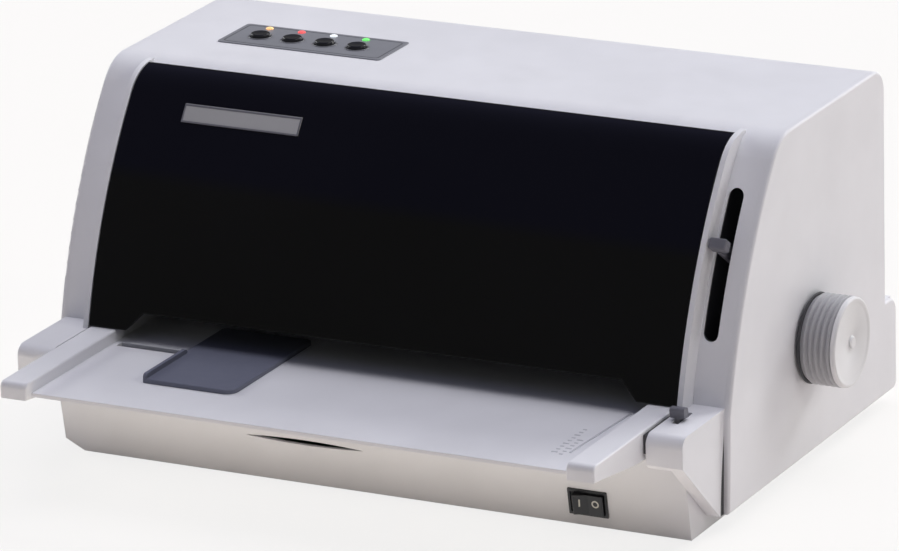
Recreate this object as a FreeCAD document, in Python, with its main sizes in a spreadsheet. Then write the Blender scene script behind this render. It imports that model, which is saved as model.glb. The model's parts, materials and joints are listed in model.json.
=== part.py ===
"""A desktop dot matrix printer, as an assembly of separate pieces.

X runs along the platen to the right, Y from the front to the rear, Z up.  Every place below is
measured from the centre plane of the casing (x), from a line just behind the foot of the front
columns (y) and from the table top that the feet stand on (z).  Each finished piece is then moved
by the same amount, so that the origin lies under the centre of the whole printer.
"""
import FreeCAD, Part
import math
import os
import Sketcher
from types import SimpleNamespace
from FreeCAD import Placement, Rotation, Vector

SIZES = {
    # casing
    "casing_width": 388.0,
    "casing_top": 190.0,
    "casing_rear": 160.5,
    "column_foot_y": -38.5,
    "column_foot_z": 60.0,
    "column_head_y": 27.5,
    "column_bow": 300.0,
    "brow_round": 27.0,
    "rear_round": 13.0,
    "shell_wall": 2.6,
    "vent_count": 14,
    "vent_left": -78.0,
    "vent_pitch": 12.0,
    "vent_width": 5.0,
    "vent_drop": 40.0,
    "vent_height": 40.0,
    "panel_thickness": 3.2,
    "panel_rim": 1.5,
    "panel_bottom": 8.8,
    "panel_rear": 174.8,
    "panel_step_z": 60.0,
    "panel_lap": 2.0,
    "flange_inset": 6.0,
    "part_gap": 0.3,
    "fixed_gap": 0.03,
    "running_gap": 0.06,
    # front opening, ribs and shoulders
    "column_width": 24.0,
    "rib_thickness": 3.0,
    "rib_skin": 0.8,
    "cover_proud": 13.0,
    "shoulder_front": -88.5,
    "shoulder_top": 64.5,
    "shoulder_lip": 48.5,
    "shoulder_round": 6.0,
    "shoulder_gap": 0.6,
    "shoulder_lap": 4.0,
    "shoulder_toe_y": -45.0,
    "left_toe_y": -32.0,
    # lower case
    "base_inset_left": 12.3,
    "base_inset_right": 7.8,
    "base_corner_run": 10.5,
    "base_corner_rise": 6.0,
    "base_front": -62.5,
    "base_lean": 8.5,
    "base_rim": 48.2,
    "base_bottom": 1.0,
    "base_wall": 2.6,
    "ledge_top": 59.0,
    "ledge_depth": 12.0,
    "ledge_gap": 0.2,
    "ledge_seam": 0.5,
    "slit_left": -69.0,
    "slit_length": 69.0,
    "slit_height": 25.0,
    "slit_bow": 400.0,
    # cover
    "cover_thickness": 3.0,
    "cover_side_gap": 0.6,
    "cover_bottom": 66.3,
    "cover_mouth": 76.0,
    "mouth_inset": 32.0,
    "mouth_flare": 9.5,
    "cover_roll": 14.1,
    "nose_radius": 3.5,
    "cover_top_gap": 0.4,
    "hinge_pin_radius": 2.0,
    "skirt_depth": 12.0,
    "pin_seat": 8.0,
    "plate_inset": 34.0,
    "plate_length": 69.0,
    "plate_drop": 13.4,
    "plate_height": 8.2,
    "plate_thickness": 0.8,
    # paper table and guide
    "deck_top": 59.5,
    "deck_thickness": 2.0,
    "table_front": -144.5,
    "deck_front": -139.0,
    "rail_lip": 56.8,
    "rail_slope": 47.0,
    "deck_rib_inset": 14.0,
    "table_rear": 26.0,
    "rail_gap": 1.2,
    "rail_width": 15.4,
    "rail_top": 65.8,
    "rail_wall": 2.4,
    "rail_round": 3.5,
    "rail_edge": 1.0,
    "rail_rise": 1.8,
    "table_gap": 0.1,
    "slot_inset": 3.4,
    "slot_length": 86.0,
    "slot_y": -53.0,
    "slot_width": 5.6,
    "guide_offset": 41.5,
    "guide_width": 53.0,
    "guide_front": -103.0,
    "guide_depth": 88.5,
    "guide_thickness": 2.4,
    "guide_round": 6.5,
    "guide_small_round": 3.0,
    "guide_corner": 1.2,
    "guide_edge": 0.8,
    "fence_inset": 0.4,
    "fence_width": 2.0,
    "fence_rise": 2.4,
    "fence_length": 44.0,
    "fence_round": 2.0,
    "guide_foot_length": 32.0,
    # operator panel
    "panel_inset": 16.4,
    "panel_length": 97.0,
    "panel_front": 71.0,
    "panel_depth": 35.5,
    "panel_recess": 1.6,
    "panel_left_round": 9.0,
    "panel_right_round": 3.0,
    "panel_gap": 0.5,
    "panel_edge": 0.6,
    "panel_plate": 2.0,
    "button_count": 4,
    "button_left": 17.6,
    "button_right": 21.5,
    "button_y": 87.0,
    "button_radius": 5.2,
    "button_rise": 2.2,
    "button_travel": 1.2,
    "lamp_y": 101.5,
    "lamp_offset": 2.0,
    "lamp_radius": 1.7,
    "board_thickness": 1.6,
    "panel_board_drop": 9.0,
    "panel_board_inset": 3.0,
    "panel_post_radius": 2.2,
    "button_switch_radius": 2.0,
    # power switch
    "switch_inset": 56.2,
    "switch_height": 14.4,
    "switch_width": 21.8,
    "switch_tall": 14.6,
    "switch_depth": 13.0,
    "switch_rim": 1.0,
    "switch_seat": 1.0,
    "rocker_width": 18.6,
    "rocker_tall": 11.0,
    "rocker_swell": 3.0,
    "rocker_pivot_depth": 6.0,
    "rocker_throw": 14.0,
    # levers
    "gap_lever_inset": 15.5,
    "gap_lever_y": 55.8,
    "gap_lever_z": 93.8,
    "gap_lever_drop": 48.4,
    "gap_lever_proud": 6.5,
    "gap_lever_plate": 2.4,
    "gap_lever_arm": 7.0,
    "gap_slot_width": 8.6,
    "gap_slot_above": 24.4,
    "gap_slot_below": 46.6,
    "gap_tab_width": 9.6,
    "gap_tab_height": 6.0,
    "gap_tab_depth": 5.0,
    "stud_radius": 3.0,
    "hub_wall": 2.4,
    "selector_inset": 17.0,
    "selector_y": -59.0,
    "selector_z": 54.0,
    "selector_tip": 71.5,
    "selector_lean": 4.0,
    "selector_cap_width": 8.0,
    "selector_plate": 2.6,
    "selector_play": 0.6,
    "selector_arm": 5.0,
    "selector_slot": 18.0,
    "selector_pin_radius": 1.6,
    # paper feed
    "roller_y": 43.0,
    "roller_pitch": 44.0,
    "roller_z": 55.0,
    "roller_radius": 7.0,
    "roller_length": 30.0,
    "roller_count": 5,
    "roller_end_gap": 8.0,
    "shaft_radius": 4.0,
    "pinch_radius": 5.0,
    "pinch_shaft_radius": 1.5,
    "pinch_bracket_z": 74.5,
    "pinch_bracket_thickness": 1.5,
    "gear_module": 1.0,
    "gear_width": 5.0,
    "gear_clear": 8.0,
    "gear_play": 0.16,
    "knob_teeth": 30,
    "roller_teeth": 24,
    "idler_teeth": 20,
    "pinion_teeth": 12,
    "idler_drop": 10.0,
    "pinion_drop": 7.3,
    "motor_radius": 20.0,
    "motor_length": 34.0,
    "motor_shaft_radius": 2.5,
    "platen_width": 18.0,
    "platen_top": 61.4,
    "platen_height": 11.0,
    "knob_radius": 24.0,
    "knob_reach": 23.0,
    "knob_gap": 1.4,
    "knob_cap_depth": 3.0,
    "knob_boss_radius": 7.0,
    "knob_groove": 1.0,
    "knob_groove_width": 2.0,
    "knob_groove_count": 3,
    "panel_hole_radius": 7.0,
    # frames and rails
    "frame_inset": 17.4,
    "frame_thickness": 2.0,
    "frame_front": 34.0,
    "frame_rear": 150.0,
    "frame_top": 126.0,
    "chassis_thickness": 1.5,
    "guide_shaft_y": 98.0,
    "guide_shaft_z": 100.0,
    "guide_shaft_radius": 5.0,
    "front_rail_y": 35.0,
    "front_rail_depth": 9.0,
    "front_rail_z": 80.0,
    "front_rail_thickness": 3.0,
    "chute_z": 59.2,
    "chute_thickness": 1.5,
    # carriage
    "carriage_half": 24.0,
    "carriage_plate": 6.0,
    "carriage_front": 30.0,
    "head_y": 65.0,
    "head_half_width": 13.5,
    "head_half_depth": 12.0,
    "nose_half_width": 6.0,
    "nose_half_depth": 7.0,
    "nose_bottom": 64.0,
    "head_flange": 2.0,
    "head_flange_margin": 4.0,
    "sink_base": 5.0,
    "sink_height": 46.0,
    "sink_fin": 2.0,
    "sink_fin_count": 7,
    "cartridge_half": 48.0,
    "cartridge_front": -8.0,
    "cartridge_rear": 44.0,
    "cartridge_height": 18.0,
    "cartridge_round": 10.0,
    "ribbon_knob_x": -30.0,
    "ribbon_knob_y": 16.0,
    "ribbon_knob_radius": 8.0,
    "ribbon_knob_height": 6.0,
    "ribbon_stem_radius": 2.5,
    "clamp_half": 12.0,
    "pulley_radius": 7.9,
    "pulley_flange": 2.4,
    "belt_gap": 0.1,
    "belt_thickness": 1.3,
    "belt_y": 115.5,
    "belt_width": 5.0,
    "belt_side_gap": 0.5,
    "carriage_motor_radius": 18.0,
    "carriage_motor_length": 25.0,
    "carriage_motor_seat": 12.0,
    "bracket_thickness": 2.0,
    "bracket_half": 20.0,
    # electronics and fixings
    "board_inset": 25.9,
    "board_length": 220.0,
    "board_front": -52.0,
    "board_rear": 25.0,
    "chip_length": 48.0,
    "chip_width": 16.0,
    "chip_height": 4.0,
    "cooler_thickness": 3.0,
    "cooler_height": 22.0,
    "capacitor_radius": 6.0,
    "capacitor_height": 18.0,
    "standoff_height": 8.0,
    "standoff_radius": 3.5,
    "standoff_inset": 8.0,
    "transformer_x": 65.0,
    "transformer_y": 110.0,
    "transformer_length": 50.0,
    "transformer_width": 40.0,
    "transformer_height": 36.0,
    "connector_inset": 68.5,
    "connector_length": 60.0,
    "connector_height": 13.0,
    "inlet_inset": 118.0,
    "inlet_length": 28.0,
    "inlet_height": 20.0,
    "socket_z": 26.0,
    "socket_depth": 16.0,
    "foot_radius": 9.0,
    "foot_inset": 24.0,
    "screw_offset": 16.0,
    "screw_radius": 3.0,
    "screw_head": 0.8,
}

DOC = FreeCAD.newDocument("dot_matrix_printer")
SHEET = DOC.addObject("Spreadsheet::Sheet", "Sizes")
for row, (alias, number) in enumerate(SIZES.items(), start=1):
    SHEET.set("A%d" % row, alias)
    SHEET.set("B%d" % row, str(number))
    SHEET.setAlias("B%d" % row, alias)
DOC.recompute()


# ---------------------------------------------------------------- sizes that stay bound to the sheet

class Size:
    """A length worked out from the sheet: its value now, and the expression that keeps it live."""

    def __init__(self, value, text):
        self.value = value
        self.text = text

    def __add__(self, other):
        return combine(self, "+", other, lambda a, b: a + b)

    def __radd__(self, other):
        return combine(other, "+", self, lambda a, b: a + b)

    def __sub__(self, other):
        return combine(self, "-", other, lambda a, b: a - b)

    def __rsub__(self, other):
        return combine(other, "-", self, lambda a, b: a - b)

    def __mul__(self, other):
        return combine(self, "*", other, lambda a, b: a * b)

    def __rmul__(self, other):
        return combine(other, "*", self, lambda a, b: a * b)

    def __truediv__(self, other):
        return combine(self, "/", other, lambda a, b: a / b)

    def __neg__(self):
        return Size(-self.value, "(0 - %s)" % self.text)

    def root(self):
        return Size(math.sqrt(self.value), "sqrt(%s)" % self.text)


def sized(number):
    """A plain number or a Size, as a Size."""
    if isinstance(number, Size):
        return number
    return Size(float(number), "(%r)" % float(number))


def combine(left, sign, right, rule):
    left = sized(left)
    right = sized(right)
    return Size(rule(left.value, right.value), "(%s %s %s)" % (left.text, sign, right.text))


def bind(thing, prop, number):
    """Tie one property of an object to the sheet."""
    thing.setExpression(prop, sized(number).text)


d = SimpleNamespace(**{name: Size(float(value), "Sizes." + name) for name, value in SIZES.items()})


# ---------------------------------------------------------------- solids

TURN_TO = {
    "x": Rotation(Vector(0, 1, 0), 90),
    "y": Rotation(Vector(1, 0, 0), -90),
    "z": Rotation(),
}


PLACES = {}


def box(name, x, y, z):
    """A block between two limits along each axis."""
    block = DOC.addObject("Part::Box", name)
    PLACES[block.Name] = (sized(x[0]), sized(y[0]), sized(z[0]))
    for prop, axis, (low, high) in (("Length", "x", x), ("Width", "y", y), ("Height", "z", z)):
        bind(block, prop, high - sized(low))
        bind(block, "Placement.Base." + axis, low)
    return block


def rod(name, axis, centre, radius, span):
    """A round bar along one axis; centre is its place on the other two, in the order x, y, z."""
    bar = DOC.addObject("Part::Cylinder", name)
    bar.Placement = Placement(Vector(), TURN_TO[axis])
    bind(bar, "Radius", radius)
    bind(bar, "Height", span[1] - sized(span[0]))
    across = [letter for letter in "xyz" if letter != axis]
    places = dict(zip(across, centre))
    places[axis] = span[0]
    PLACES[bar.Name] = tuple(sized(places[letter]) for letter in "xyz")
    for letter in "xyz":
        bind(bar, "Placement.Base." + letter, places[letter])
    return bar


def fuse(name, *pieces):
    """Several solids as one piece, or as one group where they lie apart."""
    if len(pieces) == 1:
        return pieces[0]
    joined = DOC.addObject("Part::MultiFuse", name)
    joined.Shapes = list(pieces)
    joined.Refine = True
    return joined


def cut(name, base, *tools):
    """A solid with others taken out of it."""
    left = DOC.addObject("Part::Cut", name)
    left.Base = base
    left.Tool = fuse(name + "_tools", *tools)
    left.Refine = True
    return left


def common(name, first, second):
    """What two solids share."""
    shared = DOC.addObject("Part::MultiCommon", name)
    shared.Shapes = [first, second]
    shared.Refine = True
    return shared


def at(u, v, round_by=None, bow=None):
    """A corner of an outline: its place, its rounding, and the radius of the arc that leaves it."""
    return SimpleNamespace(u=sized(u), v=sized(v), round_by=round_by, bow=bow)


def arc_between(start, end, radius):
    """The arc that bulges outwards between two corners of a counter-clockwise outline."""
    run = end - start
    inward = Vector(-run.y, run.x, 0).normalize()
    depth = math.sqrt(radius ** 2 - (run.Length / 2) ** 2)
    centre = (start + end) * 0.5 + inward * depth
    first = math.atan2(start.y - centre.y, start.x - centre.x)
    last = math.atan2(end.y - centre.y, end.x - centre.x)
    return Part.ArcOfCircle(Part.Circle(centre, Vector(0, 0, 1), radius), first, last)


def draw(sketch, outline):
    """A closed, fully placed outline, counter-clockwise: every corner is tied to the sheet."""
    points = [Vector(corner.u.value, corner.v.value, 0) for corner in outline]
    for index, corner in enumerate(outline):
        start = points[index]
        end = points[(index + 1) % len(points)]
        if corner.bow is None:
            sketch.addGeometry(Part.LineSegment(start, end), False)
        else:
            sketch.addGeometry(arc_between(start, end, sized(corner.bow).value), False)
    bindings = []
    for index, corner in enumerate(outline):
        following = (index + 1) % len(outline)
        sketch.addConstraint(Sketcher.Constraint("Coincident", index, 2, following, 1))
        for kind, place in (("DistanceX", corner.u), ("DistanceY", corner.v)):
            number = sketch.addConstraint(Sketcher.Constraint(kind, -1, 1, index, 1, place.value))
            bindings.append((number, place))
        if corner.bow is not None:
            radius = sized(corner.bow)
            number = sketch.addConstraint(Sketcher.Constraint("Radius", index, radius.value))
            bindings.append((number, radius))
    for number, place in bindings:
        bind(sketch, "Constraints[%d]" % number, place)


PLANES = {
    "x": ("YZ_Plane", lambda p: (p.y, p.z, p.x)),
    "y": ("XZ_Plane", lambda p: (p.x, p.z, p.y)),
    "z": ("XY_Plane", lambda p: (p.x, p.y, p.z)),
}
NEAR = 1e-4


def edges_where(shape, test):
    """Names of the edges whose every vertex passes a test."""
    names = []
    for number, edge in enumerate(shape.Edges, start=1):
        if edge.Vertexes and all(test(vertex.Point) for vertex in edge.Vertexes):
            names.append("Edge%d" % number)
    return names


def dress(body, kind, name, edges, size):
    """A fillet or chamfer on some edges of a body's last feature."""
    feature = body.newObject("PartDesign::" + kind, name)
    feature.Base = (body.Group[-2], edges)
    bind(feature, "Radius" if kind == "Fillet" else "Size", size)
    DOC.recompute()
    return feature


def prism(name, axis, outline, span, rims=()):
    """A straight-sided solid along one axis, with rounded corners and, if asked, rounded rims.

    rims holds pairs: which end of the span (0 or 1), and the rounding of that end's edges.
    """
    low, high = sized(span[0]), sized(span[1])
    plane_name, split = PLANES[axis]
    body = DOC.addObject("PartDesign::Body", name)
    plane = [item for item in body.Origin.OriginFeatures if item.Role == plane_name][0]
    sketch = body.newObject("Sketcher::SketchObject", name + "_outline")
    sketch.AttachmentSupport = (plane, [""])
    sketch.MapMode = "FlatFace"
    bind(sketch, "AttachmentOffset.Base.z", -high if axis == "y" else low)
    draw(sketch, outline)
    pad = body.newObject("PartDesign::Pad", name + "_pad")
    pad.Profile = sketch
    bind(pad, "Length", high - low)
    DOC.recompute()
    groups = {}
    for corner in outline:
        if corner.round_by is not None:
            rounding = sized(corner.round_by)
            groups.setdefault(rounding.text, (rounding, []))[1].append(corner)
    for number, (rounding, corners) in enumerate(groups.values(), start=1):
        edges = []
        for corner in corners:
            place = (corner.u.value, corner.v.value)

            def at_corner(point, place=place):
                u, v, _ = split(point)
                return abs(u - place[0]) < NEAR and abs(v - place[1]) < NEAR

            edges += edges_where(body.Shape, at_corner)
        dress(body, "Fillet", "%s_corners_%d" % (name, number), edges, rounding)
    for number, (end, rounding) in enumerate(rims, start=1):
        level = (low, high)[end].value

        def on_rim(point, level=level, split=split):
            return abs(split(point)[2] - level) < NEAR

        edges = edges_where(body.Shape, on_rim)
        dress(body, "Fillet", "%s_rim_%d" % (name, number), edges, rounding)
    return body


def disc(name, axis, centre, radius, span, rim):
    """A round bar along X or Z whose far end has a rounded rim."""
    plane_name, split = PLANES[axis]
    body = DOC.addObject("PartDesign::Body", name)
    bar = body.newObject("PartDesign::AdditiveCylinder", name + "_bar")
    plane = [item for item in body.Origin.OriginFeatures if item.Role == plane_name][0]
    bar.AttachmentSupport = (plane, [""])
    bar.MapMode = "FlatFace"
    bind(bar, "Radius", radius)
    bind(bar, "Height", span[1] - span[0])
    for letter, place in zip("xyz", (centre[0], centre[1], span[0])):
        bind(bar, "AttachmentOffset.Base." + letter, place)
    DOC.recompute()
    level = sized(span[1]).value
    edges = edges_where(body.Shape, lambda point: abs(split(point)[2] - level) < NEAR)
    dress(body, "Fillet", name + "_rim", edges, rim)
    return body


def polar(centre, radius, angle):
    return Vector(centre[0] + radius * math.cos(angle), centre[1] + radius * math.sin(angle), 0)


def gear(name, teeth, bore):
    """A spur gear about its own Z, with a tooth pointing along +X; its base lies at z = 0."""
    module = d.gear_module.value
    pitch = module * teeth.value / 2
    root_half = (math.pi / 2 + 0.62) / teeth.value
    pitch_half = (math.pi / 2 - d.gear_play.value / module) / teeth.value
    tip_half = 0.62 / teeth.value * 0.9
    corners = []
    for number in range(int(teeth.value)):
        middle = 2 * math.pi * number / teeth.value
        for radius, half in (
            (pitch - 1.25 * module, -root_half),
            (pitch, -pitch_half),
            (pitch + module, -tip_half),
            (pitch + module, tip_half),
            (pitch, pitch_half),
            (pitch - 1.25 * module, root_half),
        ):
            corners.append(polar((0, 0), radius, middle + half))
    blank = Part.Face(Part.makePolygon(corners + corners[:1])).extrude(Vector(0, 0, d.gear_width.value))
    hole = Part.makeCylinder(bore.value, d.gear_width.value)
    wheel = DOC.addObject("Part::Feature", name)
    wheel.Shape = blank.cut(hole)
    return wheel


NODES = []
KNOB_END = d.casing_width / 2 + d.knob_reach
SHIFT = (
    -d.knob_reach / 2,
    -(d.table_front + d.panel_rear) / 2,
    sized(0),
)


def node(piece, label, place=None, turn=None):
    """Name a finished piece and move it, with all the others, to the printer's own origin.

    place is where the origin of a piece drawn about its own centre goes, and turn its rotation.
    """
    piece.Label = label
    if turn is not None:
        piece.Placement = Placement(Vector(), turn)
    home = place or PLACES.get(piece.Name, (sized(0), sized(0), sized(0)))
    for axis, start, shift in zip("xyz", home, SHIFT):
        bind(piece, "Placement.Base." + axis, start + shift)
    NODES.append(piece)
    return piece


# ---------------------------------------------------------------- shared places

half_width = d.casing_width / 2
inner_x = half_width - d.panel_thickness
opening_half = half_width - d.column_width
mouth_half = opening_half - d.mouth_inset
base_left = d.base_inset_left - inner_x
base_right = inner_x - d.base_inset_right
rail_outer = opening_half - d.rail_gap
rail_inner = rail_outer - d.rail_width
slot_left = d.slot_inset - rail_inner
slot_right = slot_left + d.slot_length
guide_left = slot_left + d.guide_offset
plate_left = d.plate_inset - opening_half
panel_left = d.panel_inset - opening_half
button_first = panel_left + d.button_left
button_pitch = (d.panel_length - d.button_left - d.button_right) / (d.button_count - 1)
switch_x = base_right - d.switch_inset
connector_x = base_left + d.connector_inset
inlet_x = base_right - d.inlet_inset
board_left = base_left + d.board_inset
board_right = board_left + d.board_length
frame_x = base_right - d.base_wall - d.frame_inset
frame_outer = frame_x + d.frame_thickness
between = frame_x - d.fixed_gap
gear_x = frame_outer + d.gear_clear
gear_end = gear_x + d.gear_width
pulley_x = frame_x - d.bracket_half
roller_step = (frame_x - d.roller_end_gap) * 2 / d.roller_count
cover_top_y = d.column_head_y - d.cover_proud
seam_y = cover_top_y + d.cover_roll
nose_y = seam_y - d.cover_top_gap - d.nose_radius
nose_z = d.casing_top - d.part_gap - d.nose_radius
axis_y = d.roller_y + d.roller_pitch / 2
rear_roller_y = d.roller_y + d.roller_pitch
roller_places = (d.roller_y, rear_roller_y)
knob_to_roller = d.gear_module * (d.knob_teeth + d.roller_teeth) / 2
knob_z = d.roller_z + (knob_to_roller * knob_to_roller - d.roller_pitch * d.roller_pitch / 4).root()
roller_to_idler = d.gear_module * (d.roller_teeth + d.idler_teeth) / 2
idler_y = rear_roller_y + (roller_to_idler * roller_to_idler - d.idler_drop * d.idler_drop).root()
idler_z = d.roller_z - d.idler_drop
idler_to_pinion = d.gear_module * (d.idler_teeth + d.pinion_teeth) / 2
pinion_y = idler_y + (idler_to_pinion * idler_to_pinion - d.pinion_drop * d.pinion_drop).root()
pinion_z = idler_z - d.pinion_drop
floor_top = d.base_bottom + d.base_wall
paper_z = d.roller_z + d.roller_radius
pinch_z = paper_z + d.part_gap + d.pinch_radius
base_rear = d.panel_rear - d.part_gap
front_slope = d.base_lean / (d.base_rim - d.base_bottom)
carriage_bottom = d.front_rail_z + d.front_rail_thickness + d.part_gap
carriage_top = carriage_bottom + d.carriage_plate
sides = ((-1, "left"), (1, "right"))

column_run = d.column_head_y - d.column_foot_y
column_rise = d.casing_top - d.column_foot_z
column_chord = (column_run * column_run + column_rise * column_rise).root()
column_sink = (d.column_bow * d.column_bow - column_chord * column_chord / 4).root()
bow_y = d.column_foot_y + column_run / 2 + column_sink * column_rise / column_chord
bow_z = d.column_foot_z + column_rise / 2 - column_sink * column_run / column_chord


def column_y(z):
    """Where the bowed face of the columns lies at a height."""
    return bow_y - (d.column_bow * d.column_bow - (z - bow_z) * (z - bow_z)).root()


gap_lever_x = half_width - d.gap_lever_inset
gap_rest_z = d.casing_top - d.gap_lever_drop
gap_slot_bottom = gap_rest_z - d.gap_slot_below
gap_slot_top = gap_rest_z + d.gap_slot_above
gap_run = d.gap_lever_y - column_y(gap_rest_z) + d.gap_lever_proud
gap_rise = gap_rest_z - d.gap_lever_z
gap_lever_reach = (gap_run * gap_run + gap_rise * gap_rise).root()
GAP_LEVER_TURN = math.degrees(math.atan2(gap_rise.value, gap_run.value))
selector_x = half_width - d.selector_inset


def column_profile(forward, rear, foot, head, thinner=0):
    """The bowed front of the casing, moved forward, closed behind at rear."""
    return [
        at(d.column_foot_y - forward, foot),
        at(rear, foot),
        at(rear, head),
        at(d.column_head_y - forward, head, round_by=d.brow_round - thinner, bow=d.column_bow),
    ]


# ---------------------------------------------------------------- casing

def make_upper_housing():
    """Top, bowed front columns, ribs beside the cover, shoulders and rear wall in one moulding."""
    outer = prism("housing_outer", "x", [
        at(d.column_foot_y, d.column_foot_z),
        at(d.casing_rear, d.column_foot_z),
        at(d.casing_rear, d.casing_top, round_by=d.rear_round),
        at(d.column_head_y, d.casing_top, round_by=d.brow_round, bow=d.column_bow),
    ], (-inner_x, inner_x))
    wall = d.shell_wall
    inner = prism("housing_inner", "x", [
        at(d.column_foot_y + wall, d.column_foot_z - wall),
        at(d.casing_rear - wall, d.column_foot_z - wall),
        at(d.casing_rear - wall, d.casing_top - wall, round_by=d.rear_round - wall),
        at(d.column_head_y + wall / 2, d.casing_top - wall, round_by=d.brow_round - wall, bow=d.column_bow),
    ], (-inner_x - 1, inner_x + 1))
    additions = []
    for side, word in sides:
        near, far = opening_half, opening_half + d.rib_thickness
        span = (near, far) if side > 0 else (-far, -near)
        additions.append(prism("rib_" + word, "x", column_profile(
            d.cover_proud, seam_y + d.rib_thickness, d.column_foot_z, d.casing_top), span))
        additions.append(make_shoulder(side, word))
    shell = fuse("housing_shell", cut("housing_wrap", outer, inner), *additions)
    openings = [
        box("front_opening", (-opening_half, opening_half),
            (d.shoulder_front, seam_y), (d.shoulder_lip - 10, d.casing_top + 10)),
        box("exit_slot", (-rail_inner, rail_inner),
            (d.casing_rear - 2 * wall, d.casing_rear + wall), (d.column_foot_z - 1, d.column_foot_z + 14)),
        panel_shape("panel_recess", 0, (d.casing_top - d.panel_recess, d.casing_top + 1)),
    ]
    openings += panel_holes("housing", d.casing_top - 2 * wall, d.casing_top)
    for side, word in sides:
        centre = (nose_y, nose_z)
        near, far = opening_half, opening_half + d.rib_thickness - d.rib_skin
        span = (near - 1, far) if side > 0 else (-far, 1 - near)
        openings.append(rod("hinge_hole_" + word, "x", centre, d.hinge_pin_radius + d.running_gap, span))
    openings.append(make_gap_slot())
    selector_half = d.selector_plate / 2 + d.selector_play
    openings.append(box(
        "selector_slot",
        (selector_x - selector_half, selector_x + selector_half),
        (d.selector_y - d.selector_slot / 2, d.selector_y + d.selector_slot / 2),
        (d.shoulder_top - 2 * wall, d.shoulder_top + 1)))
    openings += make_rear_vents()
    pin = rod("selector_pivot", "x", (d.selector_y, d.selector_z), d.selector_pin_radius,
              (opening_half + wall / 2, inner_x - wall / 2))
    return fuse("upper_housing", cut("housing_cut", shell, *openings), pin)


def make_shoulder(side, word):
    """A hollow shoulder beside the paper table.

    The right one drops to a slanting lower edge outside the lower case, the left one stops level.
    """
    near, far = opening_half + d.shoulder_gap, inner_x
    wall = d.shell_wall
    behind = d.column_foot_y + d.shoulder_lap

    def band(name, low, high, grow):
        span = (low, high) if side > 0 else (-high, -low)
        lip = d.shoulder_lip + grow if side < 0 else d.shoulder_lip
        lower = [at(d.shoulder_front + grow, lip)]
        if side > 0:
            lower += [at(d.shoulder_toe_y + grow, d.panel_bottom + grow), at(behind, d.panel_bottom + grow)]
        else:
            lower += [at(behind, lip)]
        return prism(name, "x", lower + [
            at(behind, d.shoulder_top - grow),
            at(d.shoulder_front + grow, d.shoulder_top - grow, round_by=d.shoulder_round - grow / 2),
        ], span)

    block = band("shoulder_" + word, near, far, sized(0))
    hollow = band("shoulder_hollow_" + word, near + wall, far - wall, wall)
    under_edge = base_right + d.part_gap
    low, high = (near - 1, under_edge) if side > 0 else (wall - far, 1 - near)
    under = box("shoulder_under_" + word, (low, high), (d.shoulder_front + wall, behind + 1),
                (sized(0), d.shoulder_lip + wall + 1))
    return cut("shoulder_shell_" + word, block, hollow, under)


def panel_shape(name, inset, span, rims=()):
    """The operator panel's outline, rounder at its left end, raised over a span of heights."""
    left, right = panel_left + inset, panel_left + d.panel_length - inset
    front, rear = d.panel_front + inset, d.panel_front + d.panel_depth - inset
    left_round, right_round = d.panel_left_round - inset, d.panel_right_round - inset
    return prism(name, "z", [
        at(left, front, round_by=left_round),
        at(right, front, round_by=right_round),
        at(right, rear, round_by=right_round),
        at(left, rear, round_by=left_round),
    ], span, rims)


def panel_holes(name, low, high):
    """Round holes for the buttons and the lamps."""
    holes = []
    for number in range(int(d.button_count.value)):
        x = button_first + number * button_pitch
        holes.append(rod("%s_button_hole_%d" % (name, number), "z", (x, d.button_y),
                         d.button_radius + d.part_gap, (low - 1, high + 1)))
        holes.append(rod("%s_lamp_hole_%d" % (name, number), "z", (x - d.lamp_offset, d.lamp_y),
                         d.lamp_radius + d.fixed_gap, (low - 1, high + 1)))
    return holes


def make_gap_slot():
    """The slot in the right column that the gap lever moves along, with round ends."""
    half = d.gap_slot_width / 2
    y = (d.column_foot_y - 1, d.gap_lever_y - 12)
    ends = (gap_slot_bottom + half, gap_slot_top - half)
    pieces = [box("gap_slot_middle", (gap_lever_x - half, gap_lever_x + half), y, ends)]
    for word, z in zip(("bottom", "top"), ends):
        pieces.append(rod("gap_slot_" + word, "y", (gap_lever_x, z), half, y))
    return fuse("gap_slot", *pieces)


def make_rear_vents():
    """Upright cooling slots in the rear wall."""
    slots = []
    top = d.casing_top - d.vent_drop
    for number in range(int(d.vent_count.value)):
        x = d.vent_left + d.vent_pitch * number
        slots.append(box("rear_vent_%d" % number, (x, x + d.vent_width),
                         (d.casing_rear - 2 * d.shell_wall, d.casing_rear + 1),
                         (top - d.vent_height, top)))
    return slots


def make_side_panel(side, word):
    """A flat side of the casing, with a rounded outer rim and a flange along its bottom."""
    span = (inner_x, half_width) if side > 0 else (-half_width, -inner_x)
    if side > 0:
        foot = [at(d.column_foot_y, d.column_foot_z), at(d.column_foot_y - d.panel_lap, d.panel_bottom)]
    else:
        foot = [at(d.column_foot_y, d.column_foot_z), at(d.left_toe_y, d.column_foot_z),
                at(d.left_toe_y, d.panel_bottom)]
    plate = prism("panel_plate_" + word, "x", foot + [
        at(d.panel_rear, d.panel_bottom, round_by=4.0),
        at(d.panel_rear, d.panel_step_z, round_by=8.0),
        at(d.casing_rear, d.panel_step_z),
        at(d.casing_rear, d.casing_top, round_by=d.rear_round),
        at(d.column_head_y, d.casing_top, round_by=d.brow_round, bow=d.column_bow),
    ], span, rims=((1 if side > 0 else 0, d.panel_rim),))
    high = inner_x + 1
    flange_x = (base_right + d.part_gap, high) if side > 0 else (-high, base_left - d.part_gap)
    flange = box("panel_flange_" + word, flange_x,
                 (d.column_foot_y + d.flange_inset, d.casing_rear - d.ledge_depth),
                 (d.panel_bottom, d.panel_bottom + d.shell_wall))
    whole = fuse("panel_whole_" + word, plate, flange)
    if side < 0:
        return whole
    hole = rod("panel_hole", "x", (axis_y, knob_z), d.panel_hole_radius, (inner_x - 1, half_width + 1))
    return cut("panel_drilled", whole, hole)


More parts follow.
